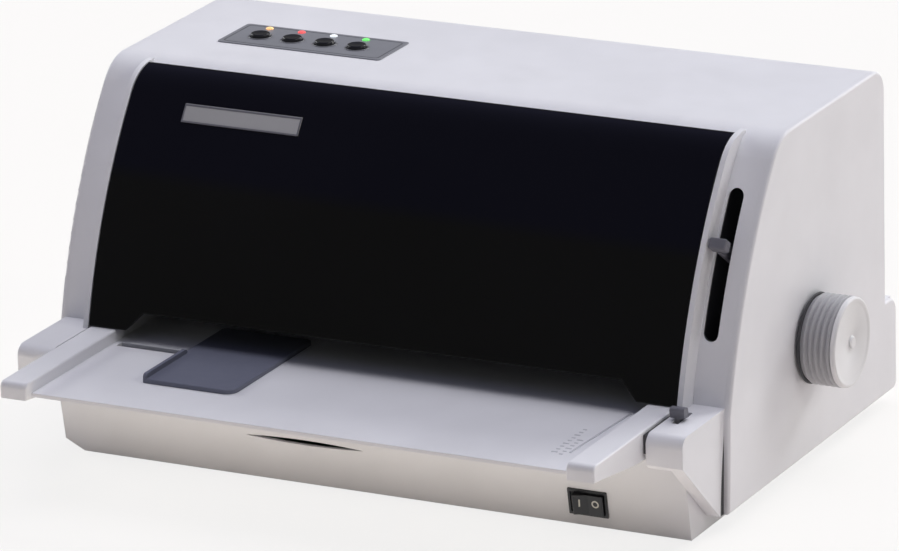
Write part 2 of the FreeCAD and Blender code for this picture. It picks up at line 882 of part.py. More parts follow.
def base_block(name, grow, top):
    """The body of the lower case, or its hollow where grow is a wall: side view through front view.

    From the side its front wall leans forward as it rises; from the front its lower left corner is cut.
    """
    low = d.base_bottom + grow
    left, right = base_left + grow, base_right - grow
    front, rear = d.base_front + grow - front_slope * grow, base_rear - grow
    side_view = prism(name + "_side_view", "x", [
        at(front, low),
        at(rear, low),
        at(rear, top),
        at(d.base_front + grow - front_slope * (top - d.base_bottom), top),
    ], (left, right))
    front_view = prism(name + "_front_view", "y", [
        at(left + d.base_corner_run, low),
        at(right, low),
        at(right, top),
        at(left, top),
        at(left, low + d.base_corner_rise),
    ], (d.base_front - d.base_lean - 2 * d.base_wall, base_rear))
    return common(name, side_view, front_view)


def make_lower_case():
    """An open tray that carries everything: floor, leaning front wall, sides and rear ledge."""
    wall = d.base_wall
    tray = base_block("base_tray", sized(0), d.base_rim)
    hollow = base_block("base_hollow", wall, d.ledge_top + wall)
    ledge_half = inner_x - d.ledge_gap
    ledge = box("base_ledge", (-ledge_half, ledge_half), (d.casing_rear - d.ledge_depth, base_rear),
                (d.panel_bottom, d.ledge_top))
    lid = box("base_lid", (-ledge_half, ledge_half), (d.casing_rear + d.ledge_seam, base_rear),
              (d.ledge_top - wall, d.ledge_top))
    posts = []
    inset = d.standoff_inset
    for x in (board_left + inset, board_right - inset):
        for y in (d.board_front + inset, d.board_rear - inset):
            posts.append(rod("board_post", "z", (x, y), d.standoff_radius,
                             (floor_top - 1, floor_top + d.standoff_height)))
    case = fuse("base_case", cut("base_shell", fuse("base_solid", tray, ledge), hollow), lid, *posts)
    front_wall = (d.base_front - d.base_lean - 2, d.base_front + wall + 1)
    slit = prism("finger_slit", "y", [
        at(d.slit_left, d.slit_height, bow=d.slit_bow),
        at(d.slit_left + d.slit_length, d.slit_height, bow=d.slit_bow),
    ], front_wall)
    half_w, half_t = d.switch_width / 2 - d.switch_seat, d.switch_tall / 2 - d.switch_seat
    openings = [slit, box("switch_window", (switch_x - half_w, switch_x + half_w), front_wall,
                          (d.switch_height - half_t, d.switch_height + half_t))]
    for name, x, length, height in socket_windows():
        openings.append(box(name + "_window", (x - length / 2, x + length / 2),
                            (d.casing_rear - d.ledge_depth, base_rear + 1),
                            (d.socket_z - height / 2, d.socket_z + height / 2)))
    return cut("lower_case", case, *openings)


def socket_windows():
    return (
        ("connector", connector_x, d.connector_length, d.connector_height),
        ("inlet", inlet_x, d.inlet_length, d.inlet_height),
    )


# ---------------------------------------------------------------- cover

def make_front_cover():
    """A bowed front cover with side skirts, a round nose along its hinge and a raised paper mouth."""
    half = opening_half - d.cover_side_gap
    thick = d.cover_thickness
    head = d.casing_top - d.part_gap
    behind = d.column_head_y + d.brow_round
    outer = prism("cover_outer", "x", column_profile(
        d.cover_proud, behind, d.column_foot_z, head), (-half, half))
    inner = prism("cover_inner", "x", column_profile(
        d.cover_proud - thick, behind + 1, d.column_foot_z - thick, head - thick, thick),
        (-half + thick, half - thick))
    core = prism("cover_core", "x", column_profile(
        d.cover_proud - d.skirt_depth, behind + 1, d.column_foot_z - thick,
        head - d.skirt_depth, d.skirt_depth), (-half - 1, half + 1))
    nose = rod("cover_nose", "x", (nose_y, nose_z), d.nose_radius, (-half, half))
    trims = [
        box("cover_behind", (-half - 1, half + 1), (nose_y, behind + 2), (d.column_foot_z - 10, head + 1)),
        box("cover_trim", (-half - 1, half + 1), (d.shoulder_front, nose_y),
            (d.column_foot_z - 10, d.cover_bottom)),
        make_mouth(),
    ]
    whole = fuse("cover_whole", cut("cover_shell", outer, inner, core, *trims), nose)
    seats = []
    for side, word in sides:
        span = (half - d.pin_seat, half + 1) if side > 0 else (-half - 1, d.pin_seat - half)
        seats.append(rod("pin_seat_" + word, "x", (nose_y, nose_z),
                         d.hinge_pin_radius + d.fixed_gap, span))
    return cut("front_cover", whole, *seats)


def make_mouth():
    """The raised paper mouth in the lower edge of the cover, flaring at its ends."""
    foot = mouth_half + d.mouth_flare
    below = d.column_foot_z - 10
    return prism("cover_mouth_cut", "y", [
        at(-foot, below),
        at(foot, below),
        at(foot, d.cover_bottom),
        at(mouth_half, d.cover_mouth),
        at(-mouth_half, d.cover_mouth),
        at(-foot, d.cover_bottom),
    ], (d.shoulder_front, nose_y))


def make_hinge_pins():
    """Two steel pins: each sits in an end of the cover's nose and turns in the rib beside it."""
    pins = []
    for side, word in sides:
        low = opening_half - d.cover_side_gap - d.pin_seat
        high = opening_half + d.rib_thickness - d.rib_skin - d.part_gap
        span = (low, high) if side > 0 else (-high, -low)
        pins.append(rod("hinge_pin_" + word, "x", (nose_y, nose_z), d.hinge_pin_radius, span))
    return fuse("hinge_pins", *pins)


def make_name_plate():
    """A bare plate that follows the bow of the cover, on its upper left."""
    span = (plate_left, plate_left + d.plate_length)
    behind = d.column_head_y + d.brow_round
    front = prism("plate_front", "x", column_profile(
        d.cover_proud + d.plate_thickness, behind, d.column_foot_z, d.casing_top - d.part_gap), span)
    back = prism("plate_back", "x", column_profile(
        d.cover_proud, behind + 1, d.column_foot_z, d.casing_top - d.part_gap),
        (span[0] - 1, span[1] + 1))
    top = d.casing_top - d.plate_drop
    band = box("plate_band", span, (d.shoulder_front, nose_y), (top - d.plate_height, top))
    return common("name_plate", cut("plate_sheet", front, back), band)


# ---------------------------------------------------------------- paper table and guide

def make_paper_table():
    """A thin deck between two hollow rails, with a rib under its front and a slot for the guide."""
    wall = d.rail_wall
    seat = d.shoulder_lip + d.table_gap
    front_wall_y = d.base_front - d.base_lean
    outline = [
        at(d.table_front, d.rail_lip),
        at(d.table_front + d.rail_slope, seat + d.rail_rise),
        at(front_wall_y, seat),
        at(d.table_rear, seat),
        at(d.table_rear, d.rail_top),
        at(d.table_front, d.rail_top, round_by=d.rail_round),
    ]
    pieces = []
    for side, word in sides:
        span = (rail_inner, rail_outer) if side > 0 else (-rail_outer, -rail_inner)
        rail = prism("rail_" + word, "x", outline, span, rims=((0, d.rail_edge), (1, d.rail_edge)))
        pocket = box("rail_pocket_" + word, (span[0] + wall, span[1] - wall),
                     (d.table_front + wall, d.table_rear - wall),
                     (d.shoulder_lip - 5, d.rail_top - wall))
        pieces.append(cut("rail_shell_" + word, rail, pocket))
    across = (-rail_inner - 1, rail_inner + 1)
    deck_under = d.deck_top - d.deck_thickness
    rib_front = d.deck_front + d.deck_rib_inset
    pieces.append(box("deck", across, (d.deck_front, d.table_rear), (deck_under, d.deck_top)))
    pieces.append(box("deck_rib", across, (rib_front, rib_front + wall), (deck_under - wall, d.deck_top)))
    pieces.append(box("deck_web", across, (front_wall_y, front_wall_y + wall), (seat, d.deck_top)))
    slot = box("guide_slot", (slot_left, slot_right),
               (d.slot_y - d.slot_width / 2, d.slot_y + d.slot_width / 2),
               (d.shoulder_lip, d.deck_top + 1))
    return cut("paper_table", fuse("table_whole", *pieces), slot)


def make_paper_guide():
    """A flat plate with rounded corners and a low fence, on a foot that runs in the table's slot."""
    low = d.deck_top + d.part_gap / 3
    top = low + d.guide_thickness
    left, right = guide_left, guide_left + d.guide_width
    rear = d.guide_front + d.guide_depth
    plate = prism("guide_plate", "z", [
        at(left, d.guide_front, round_by=d.guide_corner),
        at(right, d.guide_front, round_by=d.guide_round),
        at(right, rear, round_by=d.guide_small_round),
        at(left, rear, round_by=d.guide_small_round),
    ], (low, top), rims=((1, d.guide_edge),))
    fence_front = d.guide_front + d.fence_inset
    fence_rear = fence_front + d.fence_length
    fence_left = left + d.fence_inset
    fence = prism("guide_fence", "x", [
        at(fence_front, low + d.guide_edge),
        at(fence_rear, low + d.guide_edge),
        at(fence_rear, top + d.fence_rise, round_by=d.fence_round),
        at(fence_front, top + d.fence_rise, round_by=d.fence_round),
    ], (fence_left, fence_left + d.fence_width))
    foot_right = slot_right - 1
    inset = d.slot_width / 2 - d.part_gap
    foot = box("guide_foot", (foot_right - d.guide_foot_length, foot_right),
               (d.slot_y - inset, d.slot_y + inset), (d.deck_top - d.deck_thickness - 1, low + 1))
    return fuse("paper_guide", plate, fence, foot)


# ---------------------------------------------------------------- operator panel

def make_operator_panel():
    """The plate in the recess on top, with holes for four buttons and four lamps."""
    low = d.casing_top - d.panel_recess
    plate = panel_shape("operator_plate", d.panel_gap, (low, low + d.panel_plate), rims=((1, d.panel_edge),))
    return cut("operator_panel", plate, *panel_holes("plate", low, low + d.panel_plate))


panel_top = d.casing_top - d.panel_recess + d.panel_plate
panel_board_top = panel_top - d.panel_board_drop


def make_button(number):
    """A round push button: its skirt reaches down to the switch on the panel board."""
    x = button_first + number * button_pitch
    top = panel_top + d.button_rise
    button = disc("button_%d" % (number + 1), "z", (x, d.button_y), d.button_radius,
                        (panel_board_top + d.button_travel + 1.2, top), 0.8)
    return button


def make_status_lamps():
    """Four small round lamps, each a separate lens standing in its hole."""
    lamps = []
    for number in range(int(d.button_count.value)):
        x = button_first + number * button_pitch - d.lamp_offset
        lamps.append(rod("lamp_%d" % number, "z", (x, d.lamp_y), d.lamp_radius,
                         (panel_board_top, panel_top + 0.6)))
    return fuse("status_lamps", *lamps)


def make_panel_board():
    """The board under the operator panel, with its switches, on four posts under the top."""
    low = panel_board_top - d.board_thickness
    right, rear = panel_left + d.panel_length, d.panel_front + d.panel_depth
    inset = d.panel_board_inset
    pieces = [box("panel_board_plate", (panel_left + inset, right - inset),
                  (d.panel_front + inset, rear - inset), (low, panel_board_top))]
    for x in (panel_left + 2 * inset, right - 2 * inset):
        for y in (d.panel_front + 2 * inset, rear - 2 * inset):
            pieces.append(rod("panel_post", "z", (x, y), d.panel_post_radius,
                              (panel_board_top, d.casing_top - d.shell_wall)))
    for number in range(int(d.button_count.value)):
        x = button_first + number * button_pitch
        pieces.append(rod("panel_switch", "z", (x, d.button_y), d.button_switch_radius,
                          (panel_board_top, panel_board_top + 1)))
    return fuse("panel_board", *pieces)


# ---------------------------------------------------------------- power switch

LEAN = math.degrees(math.atan(front_slope.value))
switch_place = (
    switch_x,
    d.base_front - front_slope * (d.switch_height - d.base_bottom),
    d.switch_height,
)


def make_switch_housing():
    """The frame of the power switch: a rim on the wall and a box behind it (drawn about its face)."""
    half_w, half_t = d.switch_width / 2, d.switch_tall / 2
    rim = box("switch_rim_block", (-half_w, half_w), (-d.switch_rim, sized(0)), (-half_t, half_t))
    back = box("switch_back", (1.4 - half_w, half_w - 1.4), (sized(0), d.switch_depth),
               (1.4 - half_t, half_t - 1.4))
    play = d.part_gap
    well = box("switch_well", (-d.rocker_width / 2 - play, d.rocker_width / 2 + play),
               (-d.switch_rim - 1, d.switch_depth - 1),
               (-d.rocker_tall / 2 - play, d.rocker_tall / 2 + play))
    pivot = rod("switch_pivot", "z", (sized(0), d.rocker_pivot_depth), 1.2, (1 - half_t, half_t - 1))
    return fuse("switch_housing", cut("switch_shell", fuse("switch_block", rim, back), well), pivot)


def make_power_rocker():
    """The rocker, drawn about its upright pivot: two flat faces that meet in a shallow valley."""
    half = d.rocker_width / 2 - 1.1
    face = -d.rocker_pivot_depth - d.rocker_swell
    shoulder = 1 - d.rocker_pivot_depth
    body = prism("rocker_body", "z", [
        at(-half, face - 0.8, round_by=0.6),
        at(0, face + 0.6),
        at(half, face - 0.8, round_by=0.6),
        at(half, shoulder),
        at(4, 3),
        at(-4, 3),
        at(-half, shoulder),
    ], (-d.rocker_tall / 2, d.rocker_tall / 2))
    bore = rod("rocker_bore", "z", (sized(0), sized(0)), 1.2 + d.running_gap, (-d.rocker_tall, d.rocker_tall))
    return cut("power_rocker", body, bore)


# ---------------------------------------------------------------- levers

def make_gap_lever():
    """The head gap lever, drawn about its pivot with its arm along -Y."""
    half = d.gap_lever_plate / 2
    hub = rod("lever_hub", "x", (sized(0), sized(0)), d.stud_radius + d.hub_wall, (-half - 1, half + 1))
    arm = box("lever_arm", (-half, half), (-gap_lever_reach, sized(0)),
              (-d.gap_lever_arm / 2, d.gap_lever_arm / 2))
    tab = prism("lever_tab", "y", [
        at(-d.gap_tab_width / 2, -d.gap_tab_height / 2, round_by=1.2),
        at(d.gap_tab_width / 2, -d.gap_tab_height / 2, round_by=1.2),
        at(d.gap_tab_width / 2, d.gap_tab_height / 2, round_by=1.2),
        at(-d.gap_tab_width / 2, d.gap_tab_height / 2, round_by=1.2),
    ], (-gap_lever_reach - d.gap_tab_depth, -gap_lever_reach + 1), rims=((0, 0.9),))
    bore = rod("lever_bore", "x", (sized(0), sized(0)), d.stud_radius + d.running_gap, (-half - 2, half + 2))
    return cut("gap_lever", fuse("lever_whole", hub, arm, tab), bore)


def make_selector_lever():
    """The small lever on the right shoulder, which leans forward from its pivot."""
    half = d.selector_plate / 2
    front, rear = d.selector_y - d.selector_arm / 2, d.selector_y + d.selector_arm / 2
    span = (selector_x - half, selector_x + half)
    hub = rod("selector_hub", "x", (d.selector_y, d.selector_z), d.selector_pin_radius + d.hub_wall, span)
    arm = prism("selector_arm", "x", [
        at(front, d.selector_z),
        at(rear, d.selector_z),
        at(rear - d.selector_lean, d.selector_tip, round_by=2.0),
        at(front - d.selector_lean, d.selector_tip, round_by=2.0),
    ], span)
    cap_low = d.shoulder_top + 1.5
    cap_lean = d.selector_lean * (cap_low - d.selector_z) / (d.selector_tip - d.selector_z)
    cap = prism("selector_cap", "x", [
        at(front - cap_lean, cap_low),
        at(rear - cap_lean, cap_low),
        at(rear - d.selector_lean, d.selector_tip, round_by=1.4),
        at(front - d.selector_lean, d.selector_tip, round_by=1.4),
    ], (selector_x - d.selector_cap_width / 2, selector_x + d.selector_cap_width / 2))
    bore = rod("selector_bore", "x", (d.selector_y, d.selector_z), d.selector_pin_radius + d.running_gap,
               (span[0] - 1, span[1] + 1))
    return cut("selector_lever", fuse("selector_whole", hub, arm, cap), bore)


# ---------------------------------------------------------------- paper feed

def meshed(from_centre, from_teeth, from_phase, to_centre, to_teeth):
    """The turn that puts a gap of the second gear opposite a tooth of the first."""
    heading = math.atan2(to_centre[1] - from_centre[1], to_centre[0] - from_centre[0])
    tooth = (heading - from_phase) * from_teeth / (2 * math.pi)
    return heading + math.pi - (0.5 - tooth) * 2 * math.pi / to_teeth


def in_plane(*sizes):
    return tuple(size.value for size in sizes)


knob_centre = in_plane(axis_y, knob_z)
front_centre = in_plane(d.roller_y, d.roller_z)
rear_centre = in_plane(rear_roller_y, d.roller_z)
idler_centre = in_plane(idler_y, idler_z)
pinion_centre = in_plane(pinion_y, pinion_z)
knob_phase = 0.0
front_phase = meshed(knob_centre, SIZES["knob_teeth"], knob_phase, front_centre, SIZES["roller_teeth"])
rear_phase = meshed(knob_centre, SIZES["knob_teeth"], knob_phase, rear_centre, SIZES["roller_teeth"])
idler_phase = meshed(rear_centre, SIZES["roller_teeth"], rear_phase, idler_centre, SIZES["idler_teeth"])
pinion_phase = meshed(idler_centre, SIZES["idler_teeth"], idler_phase, pinion_centre, SIZES["pinion_teeth"])
FACE_X = Rotation(Vector(0, 1, 0), Vector(0, 0, 1), Vector(1, 0, 0), "ZXY")


def gear_turn(phase):
    """Stands a gear drawn about Z up along X, and turns it by its phase in the YZ plane."""
    return FACE_X.multiply(Rotation(Vector(0, 0, 1), math.degrees(phase)))


def make_roller_shaft(word, y):
    return rod(word + "_feed_shaft", "x", (y, d.roller_z), d.shaft_radius, (-frame_outer - 2, gear_end + 1.5))


def roller_bands(name, y, z, radius, bore):
    """Rubber sleeves, evenly spaced along a shaft."""
    sleeves = []
    count = int(d.roller_count.value)
    for number in range(count):
        middle = (number - (count - 1) / 2) * roller_step
        span = (middle - d.roller_length / 2, middle + d.roller_length / 2)
        sleeve = rod("%s_sleeve_%d" % (name, number), "x", (y, z), radius, span)
        hole = rod("%s_hole_%d" % (name, number), "x", (y, z), bore, (span[0] - 1, span[1] + 1))
        sleeves.append(cut("%s_band_%d" % (name, number), sleeve, hole))
    return sleeves


def make_pinch_roller(word, y):
    """A thin steel shaft that carries a sleeve over each driven roller."""
    shaft = rod(word + "_pinch_shaft", "x", (y, pinch_z), d.pinch_shaft_radius, (4 - between, between - 4))
    bands = roller_bands(word + "_pinch", y, pinch_z, d.pinch_radius, d.pinch_shaft_radius)
    return fuse(word + "_pinch_roller", shaft, *bands)


def make_pinch_brackets():
    """Two bars between the side frames, with ears that hold the ends of the pinch shafts."""
    parts = []
    for y, word in ((d.roller_y, "front"), (rear_roller_y, "rear")):
        parts.append(box(word + "_pinch_bar", (-between, between), (y - 5, y + 5),
                         (d.pinch_bracket_z, d.pinch_bracket_z + d.pinch_bracket_thickness)))
        for side, hand in sides:
            low, high = between - 7, between - 5
            span = (low, high) if side > 0 else (-high, -low)
            parts.append(box("%s_ear_%s" % (word, hand), span, (y - 4, y + 4),
                             (pinch_z - 3.5, d.pinch_bracket_z + 0.5)))
    whole = fuse("pinch_bars", *parts)
    holes = [rod(word + "_ear_hole", "x", (y, pinch_z), d.pinch_shaft_radius + d.running_gap,
                 (-between, between))
             for y, word in ((d.roller_y, "front"), (rear_roller_y, "rear"))]
    return cut("pinch_brackets", whole, *holes)


def make_feed_motor():
    """The stepping motor that drives the paper feed, with its mounting flange."""
    end = frame_x - d.fixed_gap
    can = rod("feed_motor_can", "x", (pinion_y, pinion_z), d.motor_radius, (end - d.motor_length, end))
    nose = rod("feed_motor_back", "x", (pinion_y, pinion_z), 8.0, (end - d.motor_length - 2, end))
    hole = rod("feed_motor_hole", "x", (pinion_y, pinion_z), d.motor_shaft_radius + d.running_gap,
               (end - d.motor_length + 3, end + 1))
    return cut("feed_motor", fuse("feed_motor_whole", can, nose), hole)


def make_feed_pinion_shaft():
    return rod("pinion_shaft", "x", (pinion_y, pinion_z), d.motor_shaft_radius,
               (frame_x - d.motor_length + 5, gear_end + 1))


def make_knob_grip():
    """The dark ring of the platen knob: a drum with grooves round it."""
    start = half_width + d.knob_gap
    end = KNOB_END - d.knob_cap_depth
    centre = (axis_y, knob_z)
    drum = rod("grip_drum", "x", centre, d.knob_radius, (start, end))
    hollow = rod("grip_hollow", "x", centre, d.knob_radius - 4, (start - 1, end - 4))
    hub = rod("grip_hub", "x", centre, d.shaft_radius + 4, (start, end - 3))
    bore = rod("grip_bore", "x", centre, d.shaft_radius + d.fixed_gap, (start - 2, end + 1))
    grooves = []
    count = int(d.knob_groove_count.value)
    for number in range(count):
        x = start + (end - start) * (number + 1) / (count + 1)
        wide = rod("groove_wide_%d" % number, "x", centre, d.knob_radius + 1,
                   (x - d.knob_groove_width / 2, x + d.knob_groove_width / 2))
        core = rod("groove_core_%d" % number, "x", centre, d.knob_radius - d.knob_groove,
                   (x - d.knob_groove_width, x + d.knob_groove_width))
        grooves.append(cut("groove_%d" % number, wide, core))
    shell = fuse("grip_shell", cut("grip_cup", drum, hollow, *grooves), hub)
    return cut("knob_grip", shell, bore)


def make_knob_cap():
    """The pale disc on the end of the knob, with a small raised round centre."""
    centre = (axis_y, knob_z)
    start = KNOB_END - d.knob_cap_depth
    body = disc("knob_disc", "x", centre, d.knob_radius - 0.4, (start, KNOB_END - 0.8), 1.4)
    boss = rod("knob_boss", "x", centre, d.knob_boss_radius, (start + 1, KNOB_END))
    return fuse("knob_cap", body, boss)


def make_platen():
    """The flat bar that the head prints against."""
    half = d.platen_width / 2
    return box("platen_bar", (-between, between), (axis_y - half, axis_y + half),
               (d.platen_top - d.platen_height, d.platen_top))


# ---------------------------------------------------------------- frames and rails

def make_side_frame(side, word):
    """A steel side frame with the holes of every shaft it carries."""
    span = (frame_x, frame_outer) if side > 0 else (-frame_outer, -frame_x)
    plate = prism("frame_" + word, "x", [
        at(d.frame_front, floor_top),
        at(d.frame_rear, floor_top),
        at(d.frame_rear, d.frame_top, round_by=10.0),
        at(d.frame_front + 14, d.frame_top, round_by=10.0),
        at(d.frame_front, d.frame_top - 30),
    ], span)
    through = (span[0] - 1, span[1] + 1)
    holes = [rod("frame_hole_%s" % word, "x", (y, d.roller_z), d.shaft_radius + d.running_gap, through)
             for y in roller_places]
    holes.append(rod("frame_guide_hole_" + word, "x", (d.guide_shaft_y, d.guide_shaft_z),
                     d.guide_shaft_radius + d.fixed_gap, through))
    if side < 0:
        return cut("side_frame_left", plate, *holes)
    holes.append(rod("frame_knob_hole", "x", (axis_y, knob_z), d.shaft_radius + d.running_gap, through))
    holes.append(rod("frame_motor_hole", "x", (pinion_y, pinion_z), d.motor_shaft_radius + 2, through))
    studs = [
        rod("idler_stud", "x", (idler_y, idler_z), d.stud_radius, (frame_x + 1, gear_end + 1)),
        rod("lever_stud", "x", (d.gap_lever_y, d.gap_lever_z), d.stud_radius,
            (frame_x + 1, gap_lever_x + 3.5)),
    ]
    return fuse("side_frame_right", cut("frame_drilled", plate, *holes), *studs)


def make_chassis():
    return box("chassis_plate", (-between, between), (d.frame_front, d.frame_rear),
               (floor_top, floor_top + d.chassis_thickness))


def make_guide_shaft():
    return rod("guide_shaft", "x", (d.guide_shaft_y, d.guide_shaft_z), d.guide_shaft_radius,
               (-frame_outer - 3, frame_outer + 3))


def make_front_rail():
    """The flat rail under the front of the carriage, with a folded lip for stiffness."""
    flat = box("rail_flat", (-between, between), (d.front_rail_y, d.front_rail_y + d.front_rail_depth),
               (d.front_rail_z, d.front_rail_z + d.front_rail_thickness))
    lip = box("rail_lip", (-between, between), (d.front_rail_y, d.front_rail_y + 1.5),
              (d.front_rail_z - 3, d.front_rail_z + 1))
    return fuse("front_rail", flat, lip)


def make_exit_chute():
    """The sheet that carries the printed page to the slot in the rear."""
    low = d.chute_z
    sheet = box("chute_sheet", (-between, between), (rear_roller_y + d.roller_radius + 2, d.frame_rear),
                (low, low + d.chute_thickness))
    tail = box("chute_tail", (1 - rail_inner, rail_inner - 1),
               (d.frame_rear - 1, d.casing_rear - d.shell_wall - 0.3), (low, low + d.chute_thickness))
    return fuse("exit_chute", sheet, tail)


# ---------------------------------------------------------------- carriage

belt_centre_z = d.guide_shaft_z
belt_radius = d.pulley_radius + d.belt_gap


def make_carriage():
    """The carriage: a plate over the print line, a sleeve on the guide shaft and a belt clamp."""
    half = d.carriage_half
    rear = d.guide_shaft_y + 12
    plate = box("carriage_plate", (-half, half), (d.carriage_front, rear), (carriage_bottom, carriage_top))
    sleeve = prism("carriage_sleeve", "x", [
        at(d.guide_shaft_y - 12, carriage_bottom),
        at(rear, carriage_bottom),
        at(rear, d.guide_shaft_z + 11, round_by=6.0),
        at(d.guide_shaft_y - 12, d.guide_shaft_z + 11, round_by=6.0),
    ], (-half, half))
    clamp = box("belt_clamp", (-d.clamp_half, d.clamp_half), (rear - 1, d.belt_y + d.belt_width + 2.5),
                (belt_centre_z + 4, belt_centre_z + belt_radius + d.belt_thickness + 3.5))
    whole = fuse("carriage_whole", plate, sleeve, clamp)
    window_half = d.head_half_width + d.part_gap
    window_depth = d.head_half_depth + d.part_gap
    cuts = [
        rod("carriage_bore", "x", (d.guide_shaft_y, d.guide_shaft_z),
            d.guide_shaft_radius + d.running_gap, (-half - 1, half + 1)),
        box("head_window", (-window_half, window_half), (d.head_y - window_depth, d.head_y + window_depth),
            (carriage_bottom - 1, carriage_top + 1)),
        box("belt_pass", (-d.clamp_half - 1, d.clamp_half + 1),
            (d.belt_y - d.part_gap, d.belt_y + d.belt_width + d.part_gap),
            (belt_centre_z + belt_radius - d.part_gap,
             belt_centre_z + belt_radius + d.belt_thickness + d.part_gap)),
    ]
    return cut("carriage", whole, *cuts)


head_top = carriage_top + d.head_flange


def make_print_head():
    """The print head: its nose reaches down to the paper, its flange sits on the carriage."""
    nose = box("head_nose", (-d.nose_half_width, d.nose_half_width),
               (d.head_y - d.nose_half_depth, d.head_y + d.nose_half_depth), (d.nose_bottom, carriage_top))
    body = box("head_body", (-d.head_half_width, d.head_half_width),
               (d.head_y - d.head_half_depth, d.head_y + d.head_half_depth),
               (carriage_bottom, head_top))
    margin = d.head_flange_margin
    flange = box("head_flange_plate", (-d.head_half_width - margin, d.head_half_width + margin),
                 (d.head_y - d.head_half_depth - margin, d.head_y + d.head_half_depth + margin),
                 (carriage_top, head_top))
    return fuse("print_head", nose, body, flange)


def make_heat_sink():
    """The finned heat sink on top of the head."""
    half_w = d.head_half_width + d.head_flange_margin
    half_d = d.head_half_depth + d.head_flange_margin
    pieces = [box("sink_plate", (-half_w, half_w), (d.head_y - half_d, d.head_y + half_d),
                  (head_top, head_top + d.sink_base))]
    count = int(d.sink_fin_count.value)
    step = (2 * half_w - d.sink_fin) / (count - 1)
    for number in range(count):
        x = -half_w + step * number
        pieces.append(box("sink_fin_%d" % number, (x, x + d.sink_fin),
                          (d.head_y - half_d, d.head_y + half_d),
                          (head_top + d.sink_base - 1, head_top + d.sink_height)))
    return fuse("heat_sink", *pieces)


def make_cartridge():
    """The ribbon cartridge, resting on the front of the carriage."""
    half = d.cartridge_half
    low, high = carriage_top, carriage_top + d.cartridge_height
    case = prism("cartridge_case", "z", [
        at(-half, d.cartridge_front, round_by=d.cartridge_round),
        at(half, d.cartridge_front, round_by=d.cartridge_round),
        at(half, d.cartridge_rear, round_by=3.0),
        at(-half, d.cartridge_rear, round_by=3.0),
    ], (low, high), rims=((1, 1.2),))
    hole = rod("cartridge_hole", "z", (d.ribbon_knob_x, d.ribbon_knob_y),
               d.ribbon_stem_radius + d.running_gap, (high - 8, high + 1))
    return cut("ribbon_cartridge", case, hole)


def make_ribbon_knob():
    """The knob that takes up the slack of the ribbon, on its stem."""
    top = carriage_top + d.cartridge_height
    centre = (d.ribbon_knob_x, d.ribbon_knob_y)
    cap = disc("ribbon_knob_cap", "z", centre, d.ribbon_knob_radius,
               (top + d.part_gap, top + d.part_gap + d.ribbon_knob_height), 1.0)
    stem = rod("ribbon_stem", "z", centre, d.ribbon_stem_radius, (top - 7.7, top + 2))
    return fuse("ribbon_knob", cap, stem)


def stadium(name, radius, y):
    """A long block with round ends about the two pulley centres."""
    pieces = [box(name + "_middle", (-pulley_x, pulley_x), y,
                  (belt_centre_z - radius, belt_centre_z + radius))]
    for side, word in sides:
        pieces.append(rod("%s_end_%s" % (name, word), "y", (side * pulley_x, belt_centre_z), radius, y))
    return fuse(name, *pieces)


def make_belt():
    """The carriage belt: one closed loop round both pulleys."""
    y = (d.belt_y, d.belt_y + d.belt_width)
    outer = stadium("belt_outer", belt_radius + d.belt_thickness, y)
    inner = stadium("belt_inner", belt_radius, (y[0] - 1, y[1] + 1))
    return cut("carriage_belt", outer, inner)


def make_pulley(side, word, rear_end):
    """A flanged pulley on its own short shaft, which runs back into its carrier."""
    centre = (side * pulley_x, belt_centre_z)
    front = d.belt_y - d.belt_side_gap
    rear = d.belt_y + d.belt_width + d.belt_side_gap
    drum = rod(word + "_drum", "y", centre, d.pulley_radius, (front - 1, rear + 1))
    rim = d.pulley_radius + d.pulley_flange
    flanges = [rod(word + "_flange_front", "y", centre, rim, (front - 1, front)),
               rod(word + "_flange_rear", "y", centre, rim, (rear, rear + 1))]
    shaft = rod(word + "_pulley_shaft", "y", centre, d.motor_shaft_radius, (front - 2, rear_end))
    return fuse(word + "_pulley", drum, shaft, *flanges)


bracket_y = d.belt_y + d.belt_width + d.belt_side_gap + 2


def make_brackets():
    """Two upright plates on the side frames: one holds the carriage motor, one the idle pulley."""
    plates = []
    for side, word in sides:
        low, high = pulley_x - d.bracket_half, between
        span = (low, high) if side > 0 else (-high, -low)
        plates.append(box("bracket_" + word, span, (bracket_y, bracket_y + d.bracket_thickness),
                          (belt_centre_z - d.bracket_half, belt_centre_z + d.bracket_half)))
    holes = [rod("bracket_hole_" + word, "y", (side * pulley_x, belt_centre_z),
                 d.motor_shaft_radius + d.running_gap, (bracket_y - 1, bracket_y + 4))
             for side, word in sides]
    return cut("pulley_brackets", fuse("bracket_plates", *plates), *holes)


def make_carriage_motor():
    """The motor that drives the belt, on the rear of its bracket."""
    centre = (-pulley_x, belt_centre_z)
    start = bracket_y + d.bracket_thickness
    can = rod("carriage_motor_can", "y", centre, d.carriage_motor_radius,
              (start, start + d.carriage_motor_length))
    hole = rod("carriage_motor_hole", "y", centre, d.motor_shaft_radius + d.running_gap,
               (start - 1, start + d.carriage_motor_seat + 2))
    return cut("carriage_motor", can, hole)


# ---------------------------------------------------------------- electronics and fixings

